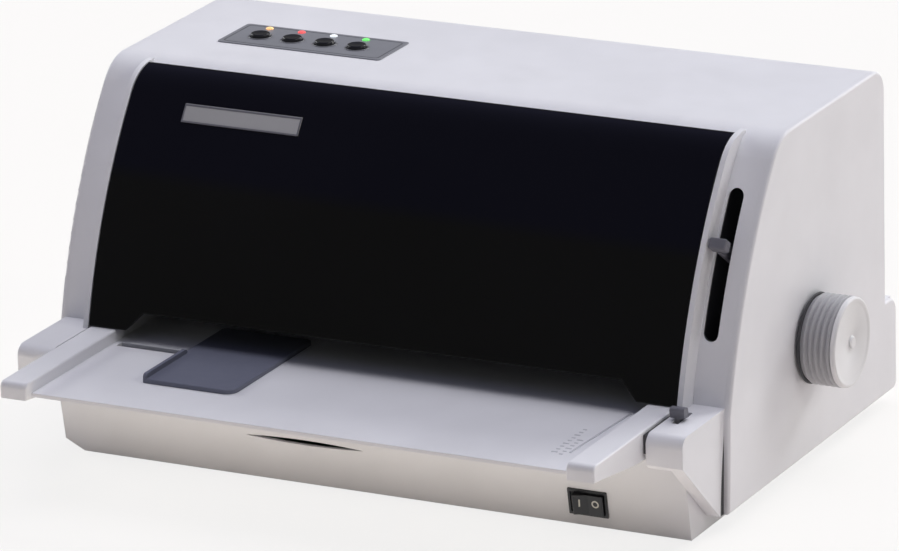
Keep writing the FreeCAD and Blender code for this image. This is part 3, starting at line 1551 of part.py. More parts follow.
def make_main_board():
    """The populated main board: chips, a cooling plate and capacitors soldered to one plate."""
    low = floor_top + d.standoff_height
    top = low + d.board_thickness
    depth = d.board_rear - d.board_front

    def on_board(along, across):
        """A place on the board, from its fractions of the board's length and depth."""
        return board_left + d.board_length * along, d.board_front + depth * across

    parts = (
        ("processor", 0.18, 0.54, d.chip_length, d.chip_width, d.chip_height),
        ("memory", 0.45, 0.54, d.chip_length * 0.75, d.chip_width, d.chip_height),
        ("driver", 0.68, 0.42, d.chip_length * 0.6, d.chip_width * 0.75, d.chip_height * 1.5),
        ("cooler", 0.84, 0.74, d.chip_length, d.cooler_thickness, d.cooler_height),
    )
    pieces = []
    for name, along, across, length, width, tall in parts:
        x, y = on_board(along, across)
        pieces.append(box(name, (x - length / 2, x + length / 2), (y - width / 2, y + width / 2),
                          (top, top + tall)))
    for number in range(3):
        pieces.append(rod("capacitor_%d" % number, "z", on_board(0.09 * (number + 1), 0.18),
                          d.capacitor_radius, (top, top + d.capacitor_height)))
    pieces.append(box("board_plate", (board_left, board_right), (d.board_front, d.board_rear), (low, top)))
    return fuse("main_board", *pieces)


def make_transformer():
    """A laminated core with a winding round its middle."""
    low = floor_top + d.chassis_thickness
    x, y = d.transformer_x, d.transformer_y
    core = box("core", (x - d.transformer_length / 2, x + d.transformer_length / 2),
               (y - d.transformer_width / 4, y + d.transformer_width / 4), (low, low + d.transformer_height))
    coil = box("coil", (x - d.transformer_length / 3, x + d.transformer_length / 3),
               (y - d.transformer_width / 2, y + d.transformer_width / 2),
               (low + 6, low + d.transformer_height - 6))
    return fuse("transformer", core, coil)


def make_socket(name, x, length, height, wall):
    """A rectangular socket let into the rear wall, open to the rear."""
    gap = 0.2
    front = base_rear - d.socket_depth
    z = (d.socket_z - height / 2 + gap, d.socket_z + height / 2 - gap)
    block = box(name + "_block", (x - length / 2 + gap, x + length / 2 - gap), (front, base_rear), z)
    well = box(name + "_well", (x - length / 2 + gap + wall, x + length / 2 - gap - wall),
               (front + 3, base_rear + 1), (z[0] + wall, z[1] - wall))
    return block, well


def make_interface_connector():
    """The flat interface connector: a shell with a tongue in its middle."""
    block, well = make_socket("connector", connector_x, d.connector_length, d.connector_height, 2.0)
    tongue = box("connector_tongue", (connector_x - d.connector_length / 2 + 5,
                                      connector_x + d.connector_length / 2 - 5),
                 (base_rear - d.socket_depth + 2, base_rear - 6), (d.socket_z - 1.2, d.socket_z + 1.2))
    return fuse("interface_connector", cut("connector_shell", block, well), tongue)


def make_mains_inlet():
    """The mains inlet: a socket with three flat blades."""
    block, well = make_socket("inlet", inlet_x, d.inlet_length, d.inlet_height, 1.8)
    blades = [box("blade_%d" % number, (inlet_x + 7 * (number - 1) - 1, inlet_x + 7 * (number - 1) + 1),
                  (base_rear - d.socket_depth + 2, base_rear - 6), (d.socket_z - 2.5, d.socket_z + 2.5))
              for number in range(3)]
    return fuse("mains_inlet", cut("inlet_shell", block, well), *blades)


def corner_places(inset):
    """The four places at one distance in from the sides of the lower case."""
    return [(x, y) for x in (base_left + inset, base_right - inset)
            for y in (d.base_front + inset, base_rear - inset)]


def make_feet():
    pads = [rod("foot_%d" % number, "z", place, d.foot_radius, (sized(0), d.base_bottom))
            for number, place in enumerate(corner_places(d.foot_inset))]
    return fuse("rubber_feet", *pads)


def make_casing_screws():
    """Pan-head screws under the casing, one beside each foot."""
    screws = [rod("screw_%d" % number, "z", place, d.screw_radius,
                  (d.base_bottom - d.screw_head, d.base_bottom))
              for number, place in enumerate(corner_places(d.foot_inset + d.screw_offset))]
    return fuse("casing_screws", *screws)


# ---------------------------------------------------------------- assembly

def build():
    node(make_upper_housing(), "upper_housing")
    for side, word in sides:
        node(make_side_panel(side, word), word + "_side_panel")
        node(make_side_frame(side, word), word + "_side_frame")
    node(make_lower_case(), "lower_case")
    node(make_front_cover(), "front_cover")
    node(make_hinge_pins(), "cover_hinge_pins")
    node(make_name_plate(), "name_plate")
    node(make_paper_table(), "paper_table")
    node(make_paper_guide(), "paper_guide")
    node(make_operator_panel(), "operator_panel")
    for number in range(int(d.button_count.value)):
        node(make_button(number), "panel_button_%d" % (number + 1))
    node(make_status_lamps(), "status_lamps")
    node(make_panel_board(), "panel_board")
    upright = Rotation(Vector(1, 0, 0), LEAN)
    node(make_switch_housing(), "switch_housing", switch_place, upright)
    pivot_place = (
        switch_place[0],
        switch_place[1] + d.rocker_pivot_depth * math.cos(math.radians(LEAN)),
        switch_place[2] + d.rocker_pivot_depth * math.sin(math.radians(LEAN)),
    )
    tipped = upright.multiply(Rotation(Vector(0, 0, 1), SIZES["rocker_throw"] / 2))
    node(make_power_rocker(), "power_rocker", pivot_place, tipped)
    node(make_gap_lever(), "gap_lever", (gap_lever_x, d.gap_lever_y, d.gap_lever_z),
         Rotation(Vector(1, 0, 0), -GAP_LEVER_TURN))
    node(make_selector_lever(), "selector_lever")
    for word, y, phase in (("front", d.roller_y, front_phase), ("rear", rear_roller_y, rear_phase)):
        bore = d.shaft_radius + d.fixed_gap
        node(make_roller_shaft(word, y), word + "_feed_shaft")
        node(fuse(word + "_rollers", *roller_bands(word + "_roller", y, d.roller_z, d.roller_radius, bore)),
             word + "_feed_rollers")
        node(gear(word + "_gear", d.roller_teeth, bore), word + "_feed_gear",
             (gear_x, y, d.roller_z), gear_turn(phase))
        node(make_pinch_roller(word, y), word + "_pinch_roller")
    node(make_pinch_brackets(), "pinch_brackets")
    node(gear("knob_wheel", d.knob_teeth, d.shaft_radius + d.fixed_gap), "knob_gear",
         (gear_x, axis_y, knob_z), gear_turn(knob_phase))
    node(gear("idler_wheel", d.idler_teeth, d.stud_radius + d.running_gap), "idler_gear",
         (gear_x, idler_y, idler_z), gear_turn(idler_phase))
    node(gear("pinion_wheel", d.pinion_teeth, d.motor_shaft_radius + d.fixed_gap), "feed_pinion",
         (gear_x, pinion_y, pinion_z), gear_turn(pinion_phase))
    node(make_feed_pinion_shaft(), "feed_motor_shaft")
    node(make_feed_motor(), "feed_motor")
    node(make_knob_grip(), "knob_grip")
    node(make_knob_cap(), "knob_cap")
    node(rod("knob_axle", "x", (axis_y, knob_z), d.shaft_radius,
             (frame_x - 6, KNOB_END - d.knob_cap_depth)), "knob_shaft")
    node(make_platen(), "platen_bar")
    node(make_chassis(), "chassis_plate")
    node(make_guide_shaft(), "guide_shaft")
    node(make_front_rail(), "front_guide_rail")
    node(make_exit_chute(), "exit_chute")
    node(make_carriage(), "carriage")
    node(make_print_head(), "print_head")
    node(make_heat_sink(), "head_heat_sink")
    node(make_cartridge(), "ribbon_cartridge")
    node(make_ribbon_knob(), "ribbon_knob")
    node(make_belt(), "carriage_belt")
    motor_end = bracket_y + d.bracket_thickness + d.carriage_motor_seat
    node(make_pulley(-1, "drive", motor_end), "drive_pulley")
    node(make_pulley(1, "idle", bracket_y + d.bracket_thickness + 1), "idle_pulley")
    node(make_brackets(), "pulley_brackets")
    node(make_carriage_motor(), "carriage_motor")
    node(make_main_board(), "main_board")
    node(make_transformer(), "transformer")
    node(make_interface_connector(), "interface_connector")
    node(make_mains_inlet(), "mains_inlet")
    node(make_feet(), "rubber_feet")
    node(make_casing_screws(), "casing_screws")


def check_and_write():
    """Refuse a failed object or a bad shape, then write one file for each piece."""
    DOC.recompute()
    failed = [item.Name for item in DOC.Objects if "Invalid" in item.State or "Error" in item.State]
    if failed:
        raise RuntimeError("failed objects: " + ", ".join(failed))
    for piece in NODES:
        if piece.Shape.isNull() or not piece.Shape.isValid():
            raise RuntimeError("bad shape: " + piece.Label)
    os.makedirs("parts", exist_ok=True)
    for piece in NODES:
        piece.Shape.exportStep("parts/%s.step" % piece.Label)
    print("%d pieces written" % len(NODES))


build()
check_and_write()
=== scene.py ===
"""A flatbed dot matrix printer: finishes, fine pieces, studio and camera over the CAD frame."""
import json
import math

import bmesh
import bpy
from mathutils import Matrix, Vector


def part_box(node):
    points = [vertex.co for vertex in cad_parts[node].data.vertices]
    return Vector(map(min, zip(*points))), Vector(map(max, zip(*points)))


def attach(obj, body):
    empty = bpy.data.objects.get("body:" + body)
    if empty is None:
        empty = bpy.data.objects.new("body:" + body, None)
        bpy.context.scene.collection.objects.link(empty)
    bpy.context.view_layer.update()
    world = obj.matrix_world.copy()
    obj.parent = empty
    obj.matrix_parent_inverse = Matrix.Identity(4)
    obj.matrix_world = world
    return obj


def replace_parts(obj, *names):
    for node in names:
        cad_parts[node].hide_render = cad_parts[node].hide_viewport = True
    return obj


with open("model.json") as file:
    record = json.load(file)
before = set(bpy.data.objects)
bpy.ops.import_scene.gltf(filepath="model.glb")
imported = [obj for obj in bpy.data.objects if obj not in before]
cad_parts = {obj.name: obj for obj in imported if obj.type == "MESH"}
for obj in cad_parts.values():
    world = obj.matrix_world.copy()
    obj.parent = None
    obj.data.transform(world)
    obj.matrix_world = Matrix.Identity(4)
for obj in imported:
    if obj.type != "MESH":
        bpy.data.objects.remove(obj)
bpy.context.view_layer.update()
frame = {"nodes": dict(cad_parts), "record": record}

MM = 0.001


# ---------------------------------------------------------------- places, read from the frame

def limits(node):
    """The lowest and highest corners of a node's box, as vectors."""
    low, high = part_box(node)
    return Vector(low), Vector(high)


def middle(node):
    """The centre of a node's box."""
    low, high = limits(node)
    return (low + high) / 2


HOUSING_HIGH = limits("upper_housing")[1]
CENTRE_X = middle("upper_housing").x
BOW_RADIUS = 300 * MM
FOOT_SETBACK = 2 * MM
FOOT_HEIGHT = 60 * MM
COLUMN_LEAN = 66 * MM
COLUMN_FOOT = Vector((0.0, limits("right_side_panel")[0].y + FOOT_SETBACK, FOOT_HEIGHT))
COLUMN_HEAD = Vector((0.0, COLUMN_FOOT.y + COLUMN_LEAN, HOUSING_HIGH.z))


def bow_axis():
    """The line about which the face of the columns is bowed, as a point with x = 0."""
    run = COLUMN_HEAD - COLUMN_FOOT
    inward = Vector((0.0, run.z, -run.y)).normalized()
    distance = math.sqrt(BOW_RADIUS ** 2 - run.length ** 2 / 4)
    return (COLUMN_FOOT + COLUMN_HEAD) / 2 + inward * distance


BOW = bow_axis()


# ---------------------------------------------------------------- materials

# Most of a noise lies between these values.
NOISE_LOW, NOISE_HIGH = 0.3, 0.7
# The sockets of a mixing node that mixes colours.
FIRST_COLOUR, SECOND_COLOUR, MIXED_COLOUR = 6, 7, 2
# Moulded plastic: how far its tone wanders, patches of tone and of wear per metre, grain and edges.
TONE_SPREAD = 0.03
TONE_SCALE, WEAR_SCALE = 18.0, 90.0
GRAIN, GRAIN_DEPTH = 0.5 * MM, 0.012 * MM
EDGE_ROUND, EDGE_SAMPLES = 0.35 * MM, 4


class Finish:
    """A procedural material: a Principled shader with noise in its colour, roughness and relief."""

    def __init__(self, name, **sockets):
        self.material = bpy.data.materials.new(name)
        self.material.use_nodes = True
        self.tree = self.material.node_tree
        self.shader = self.tree.nodes["Principled BSDF"]
        self.where = self.add("ShaderNodeTexCoord").outputs["Object"]
        self.relief = None
        for socket, value in sockets.items():
            self.shader.inputs[socket.replace("_", " ")].default_value = value

    def feed(self, socket, value):
        """Sets a socket to a value, or links it where the value is another node's output."""
        if isinstance(value, bpy.types.NodeSocket):
            self.tree.links.new(value, socket)
        else:
            socket.default_value = value

    def add(self, kind, **values):
        """A node with its sockets fed by name."""
        node = self.tree.nodes.new(kind)
        for key, value in values.items():
            self.feed(node.inputs[key.replace("_", " ")], value)
        return node

    def link(self, output, socket):
        """Links another node's output to a socket of the shader."""
        self.tree.links.new(output, self.shader.inputs[socket])

    def math(self, operation, first, second=0.0):
        """Arithmetic on two numbers, each an output or a plain value."""
        node = self.tree.nodes.new("ShaderNodeMath")
        node.operation = operation
        for socket, value in zip(node.inputs, (first, second)):
            self.feed(socket, value)
        return node.outputs[0]

    def noise(self, scale, detail=4.0, stretch=(1, 1, 1)):
        """Noise over the object's own metres, finer along an axis where stretch is above 1."""
        placed = self.add("ShaderNodeMapping", Vector=self.where, Scale=stretch).outputs[0]
        made = self.add("ShaderNodeTexNoise", Vector=placed, Scale=scale, Detail=detail)
        return made.outputs["Fac"]

    def between(self, factor, low, high, start=NOISE_LOW, end=NOISE_HIGH):
        """A number that runs from low to high as the factor runs from start to end."""
        node = self.add("ShaderNodeMapRange", Value=factor)
        sockets = ("From Min", "From Max", "To Min", "To Max")
        for socket, value in zip(sockets, (start, end, low, high)):
            node.inputs[socket].default_value = value
        return node.outputs["Result"]

    def ramp(self, factor, stops):
        """Colours along the factor, from (place, colour) stops."""
        node = self.add("ShaderNodeValToRGB", Fac=factor)
        elements = node.color_ramp.elements
        while len(elements) < len(stops):
            elements.new(0.5)
        for element, (place, colour) in zip(elements, stops):
            element.position = place
            element.color = (*colour, 1.0)
        return node.outputs["Color"]

    def patches(self, colour, spread, scale, stretch=(1, 1, 1)):
        """A colour, varied a little each way over patches of the given scale."""
        dark = [part * (1 - spread) for part in colour]
        pale = [min(part * (1 + spread), 1.0) for part in colour]
        return self.ramp(self.noise(scale, 3.0, stretch), ((NOISE_LOW, dark), (NOISE_HIGH, pale)))

    def mottle(self, colour, spread, scale, stretch=(1, 1, 1)):
        """The shader's colour, varied over patches."""
        self.link(self.patches(colour, spread, scale, stretch), "Base Color")
        return self

    def blend(self, factor, first, second):
        """The first colour where the factor is 0, the second where it is 1."""
        node = self.tree.nodes.new("ShaderNodeMix")
        node.data_type = "RGBA"
        self.tree.links.new(factor, node.inputs["Factor"])
        self.tree.links.new(first, node.inputs[FIRST_COLOUR])
        self.tree.links.new(second, node.inputs[SECOND_COLOUR])
        return node.outputs[MIXED_COLOUR]

    def polish(self, low, high, scale, stretch=(1, 1, 1)):
        """Roughness that wanders between low and high."""
        self.link(self.between(self.noise(scale, 3.0, stretch), low, high), "Roughness")
        return self

    def emboss(self, height, depth, strength=1.0):
        """Relief of the given depth in metres, laid over any relief that is there already."""
        node = self.add("ShaderNodeBump", Height=height, Distance=depth, Strength=strength)
        if self.relief:
            self.tree.links.new(self.relief, node.inputs["Normal"])
        self.relief = node.outputs["Normal"]
        self.link(self.relief, "Normal")
        return self

    def soften(self, radius):
        """Edges that catch the light as if they were rounded to the radius."""
        node = self.add("ShaderNodeBevel", Radius=radius)
        node.samples = EDGE_SAMPLES
        self.relief = node.outputs["Normal"]
        self.link(self.relief, "Normal")
        return self


def moulded(name, colour, roughness=0.45, grain=GRAIN, depth=GRAIN_DEPTH, edge=EDGE_ROUND):
    """Moulded plastic: a faint flow of tone, spark-eroded grain and softened edges."""
    made = Finish(name).mottle(colour, TONE_SPREAD, TONE_SCALE)
    made.polish(roughness - 0.05, roughness + 0.06, WEAR_SCALE)
    if edge:
        made.soften(edge)
    made.emboss(made.noise(1 / grain, 2.0), depth)
    return made.material


def casing_with_painted_shade(name, colour, shade_tone):
    """The casing's plastic, with painted shade: a dark tone over the inside of the upper housing,
    where it lies in shade.

    The painted shade starts a little behind the bowed face, the top and the rear wall. The rounded
    tops of the columns and the rounded rear edge stay pale.
    """
    face_skin, wall_skin = 1.5 * MM, 2 * MM
    column_top, column_depth = 18 * MM, 14 * MM
    rear_edge = 10 * MM
    made = Finish(name).polish(0.38, 0.50, WEAR_SCALE)
    across = made.add("ShaderNodeVectorMath", Vector=made.where)
    across.operation = "MULTIPLY_ADD"
    across.inputs[1].default_value = (0, 1, 1)
    across.inputs[2].default_value = (0, -BOW.y, -BOW.z)
    reach = made.add("ShaderNodeVectorMath")
    reach.operation = "LENGTH"
    made.tree.links.new(across.outputs[0], reach.inputs[0])
    place = made.add("ShaderNodeSeparateXYZ", Vector=made.where)
    behind = made.math("LESS_THAN", reach.outputs["Value"], BOW_RADIUS - face_skin)
    below = made.math("LESS_THAN", place.outputs["Z"], HOUSING_HIGH.z - wall_skin)
    before = made.math("LESS_THAN", place.outputs["Y"], HOUSING_HIGH.y - wall_skin)
    lower = made.math("LESS_THAN", place.outputs["Z"], HOUSING_HIGH.z - column_top)
    rearward = made.math("GREATER_THAN", place.outputs["Y"], COLUMN_HEAD.y + column_depth)
    inside = made.math("MULTIPLY", made.math("MULTIPLY", behind, below), before)
    inside = made.math("MULTIPLY", inside, made.math("MAXIMUM", lower, rearward))
    corner = made.math("ADD", place.outputs["Y"], place.outputs["Z"])
    corner = made.math("LESS_THAN", corner, HOUSING_HIGH.y + HOUSING_HIGH.z - rear_edge)
    inside = made.math("MULTIPLY", inside, corner)
    # Painted shade: the pale plastic turns dark inside the housing, where it would lie in shade.
    pale = made.patches(colour, TONE_SPREAD, TONE_SCALE)
    dark = made.patches(shade_tone, 0.15, 40.0)
    made.link(made.blend(inside, pale, dark), "Base Color")
    made.soften(EDGE_ROUND)
    made.emboss(made.noise(1 / GRAIN, 2.0), GRAIN_DEPTH)
    return made.material


def smoked_gloss(name):
    """The polished black of the front cover: nearly a mirror, with a breath of orange peel."""
    made = Finish(name, IOR=1.47, Specular_IOR_Level=0.45)
    made.mottle((0.0028, 0.0027, 0.0042), 0.15, 9.0).polish(0.02, 0.045, 14.0, (1, 4, 4))
    made.soften(0.5 * MM)
    made.emboss(made.noise(40.0, 1.0), 0.003 * MM)
    return made.material


def brushed(name, colour, roughness, stretch, metal=1.0):
    """Metal with fine lines along the axis that the stretch leaves alone."""
    made = Finish(name, Metallic=metal).mottle(colour, 0.05, 30.0, stretch)
    made.polish(roughness - 0.07, roughness + 0.08, 120.0, stretch)
    made.emboss(made.noise(500.0, 2.0, stretch), 0.006 * MM)
    return made.material


def zinc_sheet(name):
    """Zinc-plated sheet with its pale spangle."""
    made = Finish(name, Metallic=0.9)
    cells = made.add("ShaderNodeTexVoronoi", Vector=made.where, Scale=140.0).outputs["Color"]
    grey = made.add("ShaderNodeRGBToBW", Color=cells).outputs[0]
    made.link(made.ramp(grey, ((0.1, (0.47, 0.48, 0.50)), (0.9, (0.62, 0.63, 0.64)))), "Base Color")
    made.link(made.between(grey, 0.32, 0.46, 0.0, 1.0), "Roughness")
    made.soften(0.2 * MM)
    made.emboss(made.noise(900.0, 2.0), 0.004 * MM)
    return made.material


def rubber(name, colour):
    """Ground rubber, dull with a dusty tone."""
    grain, depth = 0.6 * MM, 0.03 * MM
    made = Finish(name, Specular_IOR_Level=0.3).mottle(colour, 0.16, 60.0).polish(0.62, 0.80, 160.0)
    made.soften(0.3 * MM)
    made.emboss(made.noise(1 / grain, 3.0), depth)
    return made.material


def circuit_board(name):
    """Green solder mask with copper tracks under it."""
    made = Finish(name, Coat_Weight=0.25, Coat_Roughness=0.2)
    tracks = made.add("ShaderNodeTexBrick", Vector=made.where, Scale=60.0, Mortar_Size=0.03,
                      Bias=0.0, Color1=(0.012, 0.11, 0.045, 1), Color2=(0.016, 0.14, 0.058, 1),
                      Mortar=(0.05, 0.24, 0.10, 1))
    made.link(tracks.outputs["Color"], "Base Color")
    made.polish(0.32, 0.45, 200.0)
    made.soften(0.2 * MM)
    made.emboss(tracks.outputs["Fac"], 0.03 * MM, 0.6)
    return made.material


def laminations(name):
    """Varnished iron sheets on edge, stacked along Y."""
    made = Finish(name, Metallic=0.35)
    sheets = made.noise(30.0, 1.0, (1, 60, 1))
    varnish = ((0.35, (0.10, 0.065, 0.045)), (0.65, (0.24, 0.17, 0.12)))
    made.link(made.ramp(sheets, varnish), "Base Color")
    made.polish(0.35, 0.55, 80.0)
    made.soften(0.3 * MM)
    made.emboss(sheets, 0.15 * MM, 0.7)
    return made.material


def toothed_belt(name):
    """Black belt rubber with teeth across it."""
    made = Finish(name, Specular_IOR_Level=0.35)
    made.mottle((0.022, 0.022, 0.025), 0.2, 200.0).polish(0.5, 0.7, 300.0)
    made.emboss(made.noise(420.0, 0.0, (1, 0.01, 1)), 0.25 * MM, 0.8)
    return made.material


def inked_ribbon(name):
    """Woven nylon ribbon, soaked with black ink that leaves it patchy and a little wet."""
    made = Finish(name, Specular_IOR_Level=0.4)
    made.mottle((0.012, 0.012, 0.017), 0.35, 120.0).polish(0.38, 0.7, 90.0)
    made.emboss(made.noise(3300.0, 1.0), 0.02 * MM)
    return made.material


def lens(name, colour, glow):
    """A tinted lamp lens, a little lit from inside."""
    made = Finish(name, Transmission_Weight=0.25, IOR=1.49, Emission_Strength=glow)
    made.shader.inputs["Emission Color"].default_value = (*colour, 1.0)
    made.mottle(colour, 0.1, 400.0).polish(0.08, 0.16, 500.0)
    return made.material


CASING_TONE = (0.77, 0.77, 0.804)
AMBER_LENS = lens("lens_amber", (0.95, 0.62, 0.30), 0.5)
MATERIALS = {
    "casing": moulded("casing_plastic", CASING_TONE, 0.42),
    "cover": smoked_gloss("cover_black"),
    "plate_grey": moulded("plate_grey", (0.150, 0.152, 0.166), 0.4, 0.35 * MM, edge=0.2 * MM),
    "slate": moulded("guide_slate", (0.150, 0.158, 0.210), 0.48, 0.4 * MM),
    "button": moulded("button_black", (0.018, 0.018, 0.022), 0.34, 0.3 * MM, edge=0),
    "lamp": AMBER_LENS,
    "switch_black": moulded("switch_black", (0.011, 0.011, 0.013), 0.36, 0.4 * MM, edge=0.3 * MM),
    "lever_grey": moulded("lever_grey", (0.15, 0.15, 0.175), 0.45, 0.4 * MM, edge=0.3 * MM),
    "grip": moulded("grip_grey", (0.40, 0.40, 0.42), 0.52, 0.5 * MM, 0.03 * MM, edge=0),
    "cap": moulded("cap_pale", (0.74, 0.74, 0.755), 0.40, edge=0),
    "steel": brushed("ground_steel", (0.60, 0.60, 0.62), 0.24, (0.02, 1, 1)),
    "sheet_steel": zinc_sheet("zinc_sheet"),
    "roller_rubber": rubber("roller_rubber", (0.022, 0.022, 0.023)),
    "gear": moulded("gear_acetal", (0.74, 0.71, 0.62), 0.38, 0.6 * MM, edge=0.15 * MM),
    "aluminium": brushed("black_anodised", (0.045, 0.045, 0.05), 0.42, (1, 0.05, 1), 0.8),
    "motor": brushed("dark_plated", (0.16, 0.16, 0.18), 0.36, (1, 1, 0.05), 0.85),
    "board": circuit_board("circuit_board"),
    "core": laminations("laminations"),
    "belt": toothed_belt("belt_rubber"),
    "cartridge": moulded("cartridge_black", (0.020, 0.020, 0.024), 0.46, 0.8 * MM, 0.04 * MM),
}
HOUSING_PLASTIC_PAINTED_SHADE = casing_with_painted_shade("housing_plastic_painted_shade", CASING_TONE, (0.035, 0.036, 0.04))
LENSES = [
    AMBER_LENS,
    lens("lens_red", (0.90, 0.16, 0.16), 0.5),
    lens("lens_clear", (0.85, 0.88, 0.90), 0.4),
    lens("lens_green", (0.22, 0.80, 0.22), 0.5),
]
BADGE_GREY = moulded("badge_grey", (0.41, 0.41, 0.42), 0.4, 0.35 * MM, edge=0.2 * MM)
OVERLAY_GREY = moulded("overlay_grey", (0.235, 0.240, 0.268), 0.36, 0.3 * MM, edge=0)
TRIM_GREY = moulded("trim_grey", (0.06, 0.06, 0.066), 0.4, 0.35 * MM, edge=0)
# Painted shade: a dark finish for the gaps beside the table, the guide's slot and the knob's foot.
PAINTED_GAP_SHADE = moulded("painted_gap_shade", (0.05, 0.05, 0.056), 0.6, 0.4 * MM, edge=0)
MARK_WHITE = moulded("mark_white", (0.62, 0.60, 0.55), 0.5, edge=0)
MARK_GREY = moulded("mark_grey", (0.56, 0.56, 0.60), 0.5, edge=0)
CHIP_BLACK = moulded("chip_black", (0.02, 0.02, 0.021), 0.5, 0.3 * MM, edge=0)
BRASS = brushed("contact_gold", (0.78, 0.56, 0.23), 0.25, (1, 0.1, 1))
RIBBON = inked_ribbon("ink_ribbon")


def dress_nodes():
    """Every CAD node takes the finish of its material slot in the record."""
    for subpart in frame["record"]["subparts"]:
        mesh = frame["nodes"][subpart["node"]].data
        mesh.materials.clear()
        mesh.materials.append(MATERIALS[subpart["material_slot"]])
    frame["nodes"]["upper_housing"].data.materials[0] = HOUSING_PLASTIC_PAINTED_SHADE
    frame["nodes"]["name_plate"].data.materials[0] = BADGE_GREY


# ---------------------------------------------------------------- mesh helpers

UP = (0, 0, 1)
# A ring of a smaller radius than this is a single point on the axis.
ON_AXIS = 1e-7
# Rays start this many metres out, beyond every part of the printer.
OUTSIDE = 1.0
# How far behind the front edge of the table its deck is met by a ray.
DECK_INSET = 30 * MM


def piece(name, mesh, body, slot, *finishes, smooth=35.0):
    """A mesh as an object that rides on a body, in its slot's finish unless others are given."""
    bmesh.ops.recalc_face_normals(mesh, faces=mesh.faces)
    data = bpy.data.meshes.new(name)
    mesh.to_mesh(data)
    mesh.free()
    for finish in finishes or (MATERIALS[slot],):
        data.materials.append(finish)
    made = bpy.data.objects.new(name, data)
    bpy.context.scene.collection.objects.link(made)
    data.shade_smooth()
    data.set_sharp_from_angle(angle=math.radians(smooth))
    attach(made, body)
    return made


def turned(mesh, profile, base, axis, steps=48, finish=0):
    """A closed surface of revolution: profile holds (radius, height) pairs from end to end."""
    axis = Vector(axis).normalized()
    side = axis.orthogonal().normalized()
    front = axis.cross(side)
    turns = [2 * math.pi * step / steps for step in range(steps)]
    spokes = [side * math.cos(turn) + front * math.sin(turn) for turn in turns]
    rings = []
    for radius, height in profile:
        centre = Vector(base) + axis * height
        if radius < ON_AXIS:
            rings.append([mesh.verts.new(centre)])
        else:
            rings.append([mesh.verts.new(centre + spoke * radius) for spoke in spokes])
    for lower, upper in zip(rings, rings[1:]):
        for step in range(steps):
            after = (step + 1) % steps
            corners = [lower[step % len(lower)], lower[after % len(lower)],
                       upper[after % len(upper)], upper[step % len(upper)]]
            corners = list(dict.fromkeys(corners))
            if len(corners) > 2:
                mesh.faces.new(corners).material_index = finish


def quarter_round(radius, height, reach, rise, steps):
    """Profile points that turn from upright to level, going in by the reach and up by the rise."""
    turns = [math.radians(90 * step / steps) for step in range(steps + 1)]
    return [(radius - reach + reach * math.cos(turn), height + rise * math.sin(turn))
            for turn in turns]


def circle(x, y, radius, steps=40):
    """The outline of a circle, as (x, y) pairs."""
    turns = [2 * math.pi * step / steps for step in range(steps)]
    return [(x + radius * math.cos(turn), y + radius * math.sin(turn)) for turn in turns]


def rounded(low, high, radius, steps=6):
    """The outline of a rectangle with rounded corners, as (x, y) pairs."""
    corners = ((low[0], low[1], 1, 1, 180), (high[0], low[1], -1, 1, 270),
               (high[0], high[1], -1, -1, 0), (low[0], high[1], 1, -1, 90))
    points = []
    for x, y, right, up, start in corners:
        for step in range(steps + 1):
            angle = math.radians(start + 90 * step / steps)
            points.append((x + right * radius + radius * math.cos(angle),
                           y + up * radius + radius * math.sin(angle)))
    return points


def bridge(mesh, first, second):
    """Faces that join two closed rings of as many vertices."""
    count = len(first)
    for step in range(count):
        after = (step + 1) % count
        mesh.faces.new((first[step], first[after], second[after], second[step]))


def slab(mesh, outline, low, high, rim, lift=None):
    """A flat plate: an outline raised from low to high, with two bevels round its upper rim.

    lift turns a point of the plate's own plane, a Vector, into its place on the object.
    """
    lift = lift or (lambda point: point)
    centre = Vector((sum(p[0] for p in outline), sum(p[1] for p in outline))) / len(outline)
    half = max((Vector(p) - centre).length for p in outline)
    shoulder = 0.3 * rim
    steps = ((0.0, low), (0.0, high - rim), (shoulder, high - shoulder), (rim, high))
    rings = []
    for inset, height in steps:
        shrink = 1 - inset / half
        ring = [centre + (Vector(p) - centre) * shrink for p in outline]
        rings.append([mesh.verts.new(lift(Vector((p.x, p.y, height)))) for p in ring])
    for lower, upper in zip(rings, rings[1:]):
        bridge(mesh, lower, upper)
    mesh.faces.new(rings[0])
    mesh.faces.new(rings[-1])


def block(mesh, low, high, rim, lift=None):
    """A small block with a softened upper rim."""
    slab(mesh, rounded(low[:2], high[:2], rim * 1.2, 2), low[2], high[2], rim, lift)


def flat_curve(name, outlines, low, high, rim):
    """A plate cut to closed outlines, its edge first and then its holes, with rounded rims."""
    data = bpy.data.curves.new(name, "CURVE")
    data.dimensions = "2D"
    data.fill_mode = "BOTH"
    data.extrude = (high - low) / 2 - rim
    data.bevel_depth = rim
    data.bevel_resolution = 2
    data.offset = -rim
    for outline in outlines:
        spline = data.splines.new("POLY")
        spline.points.add(len(outline) - 1)
        for point, (x, y) in zip(spline.points, outline):
            point.co = (x, y, 0.0, 1.0)
        spline.use_cyclic_u = True
    made = bpy.data.objects.new(name, data)
    made.location.z = (low + high) / 2
    bpy.context.scene.collection.objects.link(made)
    return made


def on_face(node, x, z):
    """Where a ray from the front strikes a node, and the way its surface faces there."""
    start = Vector((x, -OUTSIDE, z))
    _, place, normal, _ = frame["nodes"][node].ray_cast(start, Vector((0, 1, 0)))
    return place, normal


def deck_height():
    """The height of the table's deck, found with a ray straight down."""
    start = Vector((CENTRE_X, limits("paper_table")[0].y + DECK_INSET, OUTSIDE))
    _, place, _, _ = frame["nodes"]["paper_table"].ray_cast(start, Vector((0, 0, -1)))
    return place.z


# ---------------------------------------------------------------- top panel

BUTTONS = ["panel_button_%d" % number for number in range(1, 5)]
PANEL_LOW, PANEL_HIGH = limits("operator_panel")
OVERLAY_PROUD = 0.12 * MM
LAMP_COUNT = 4


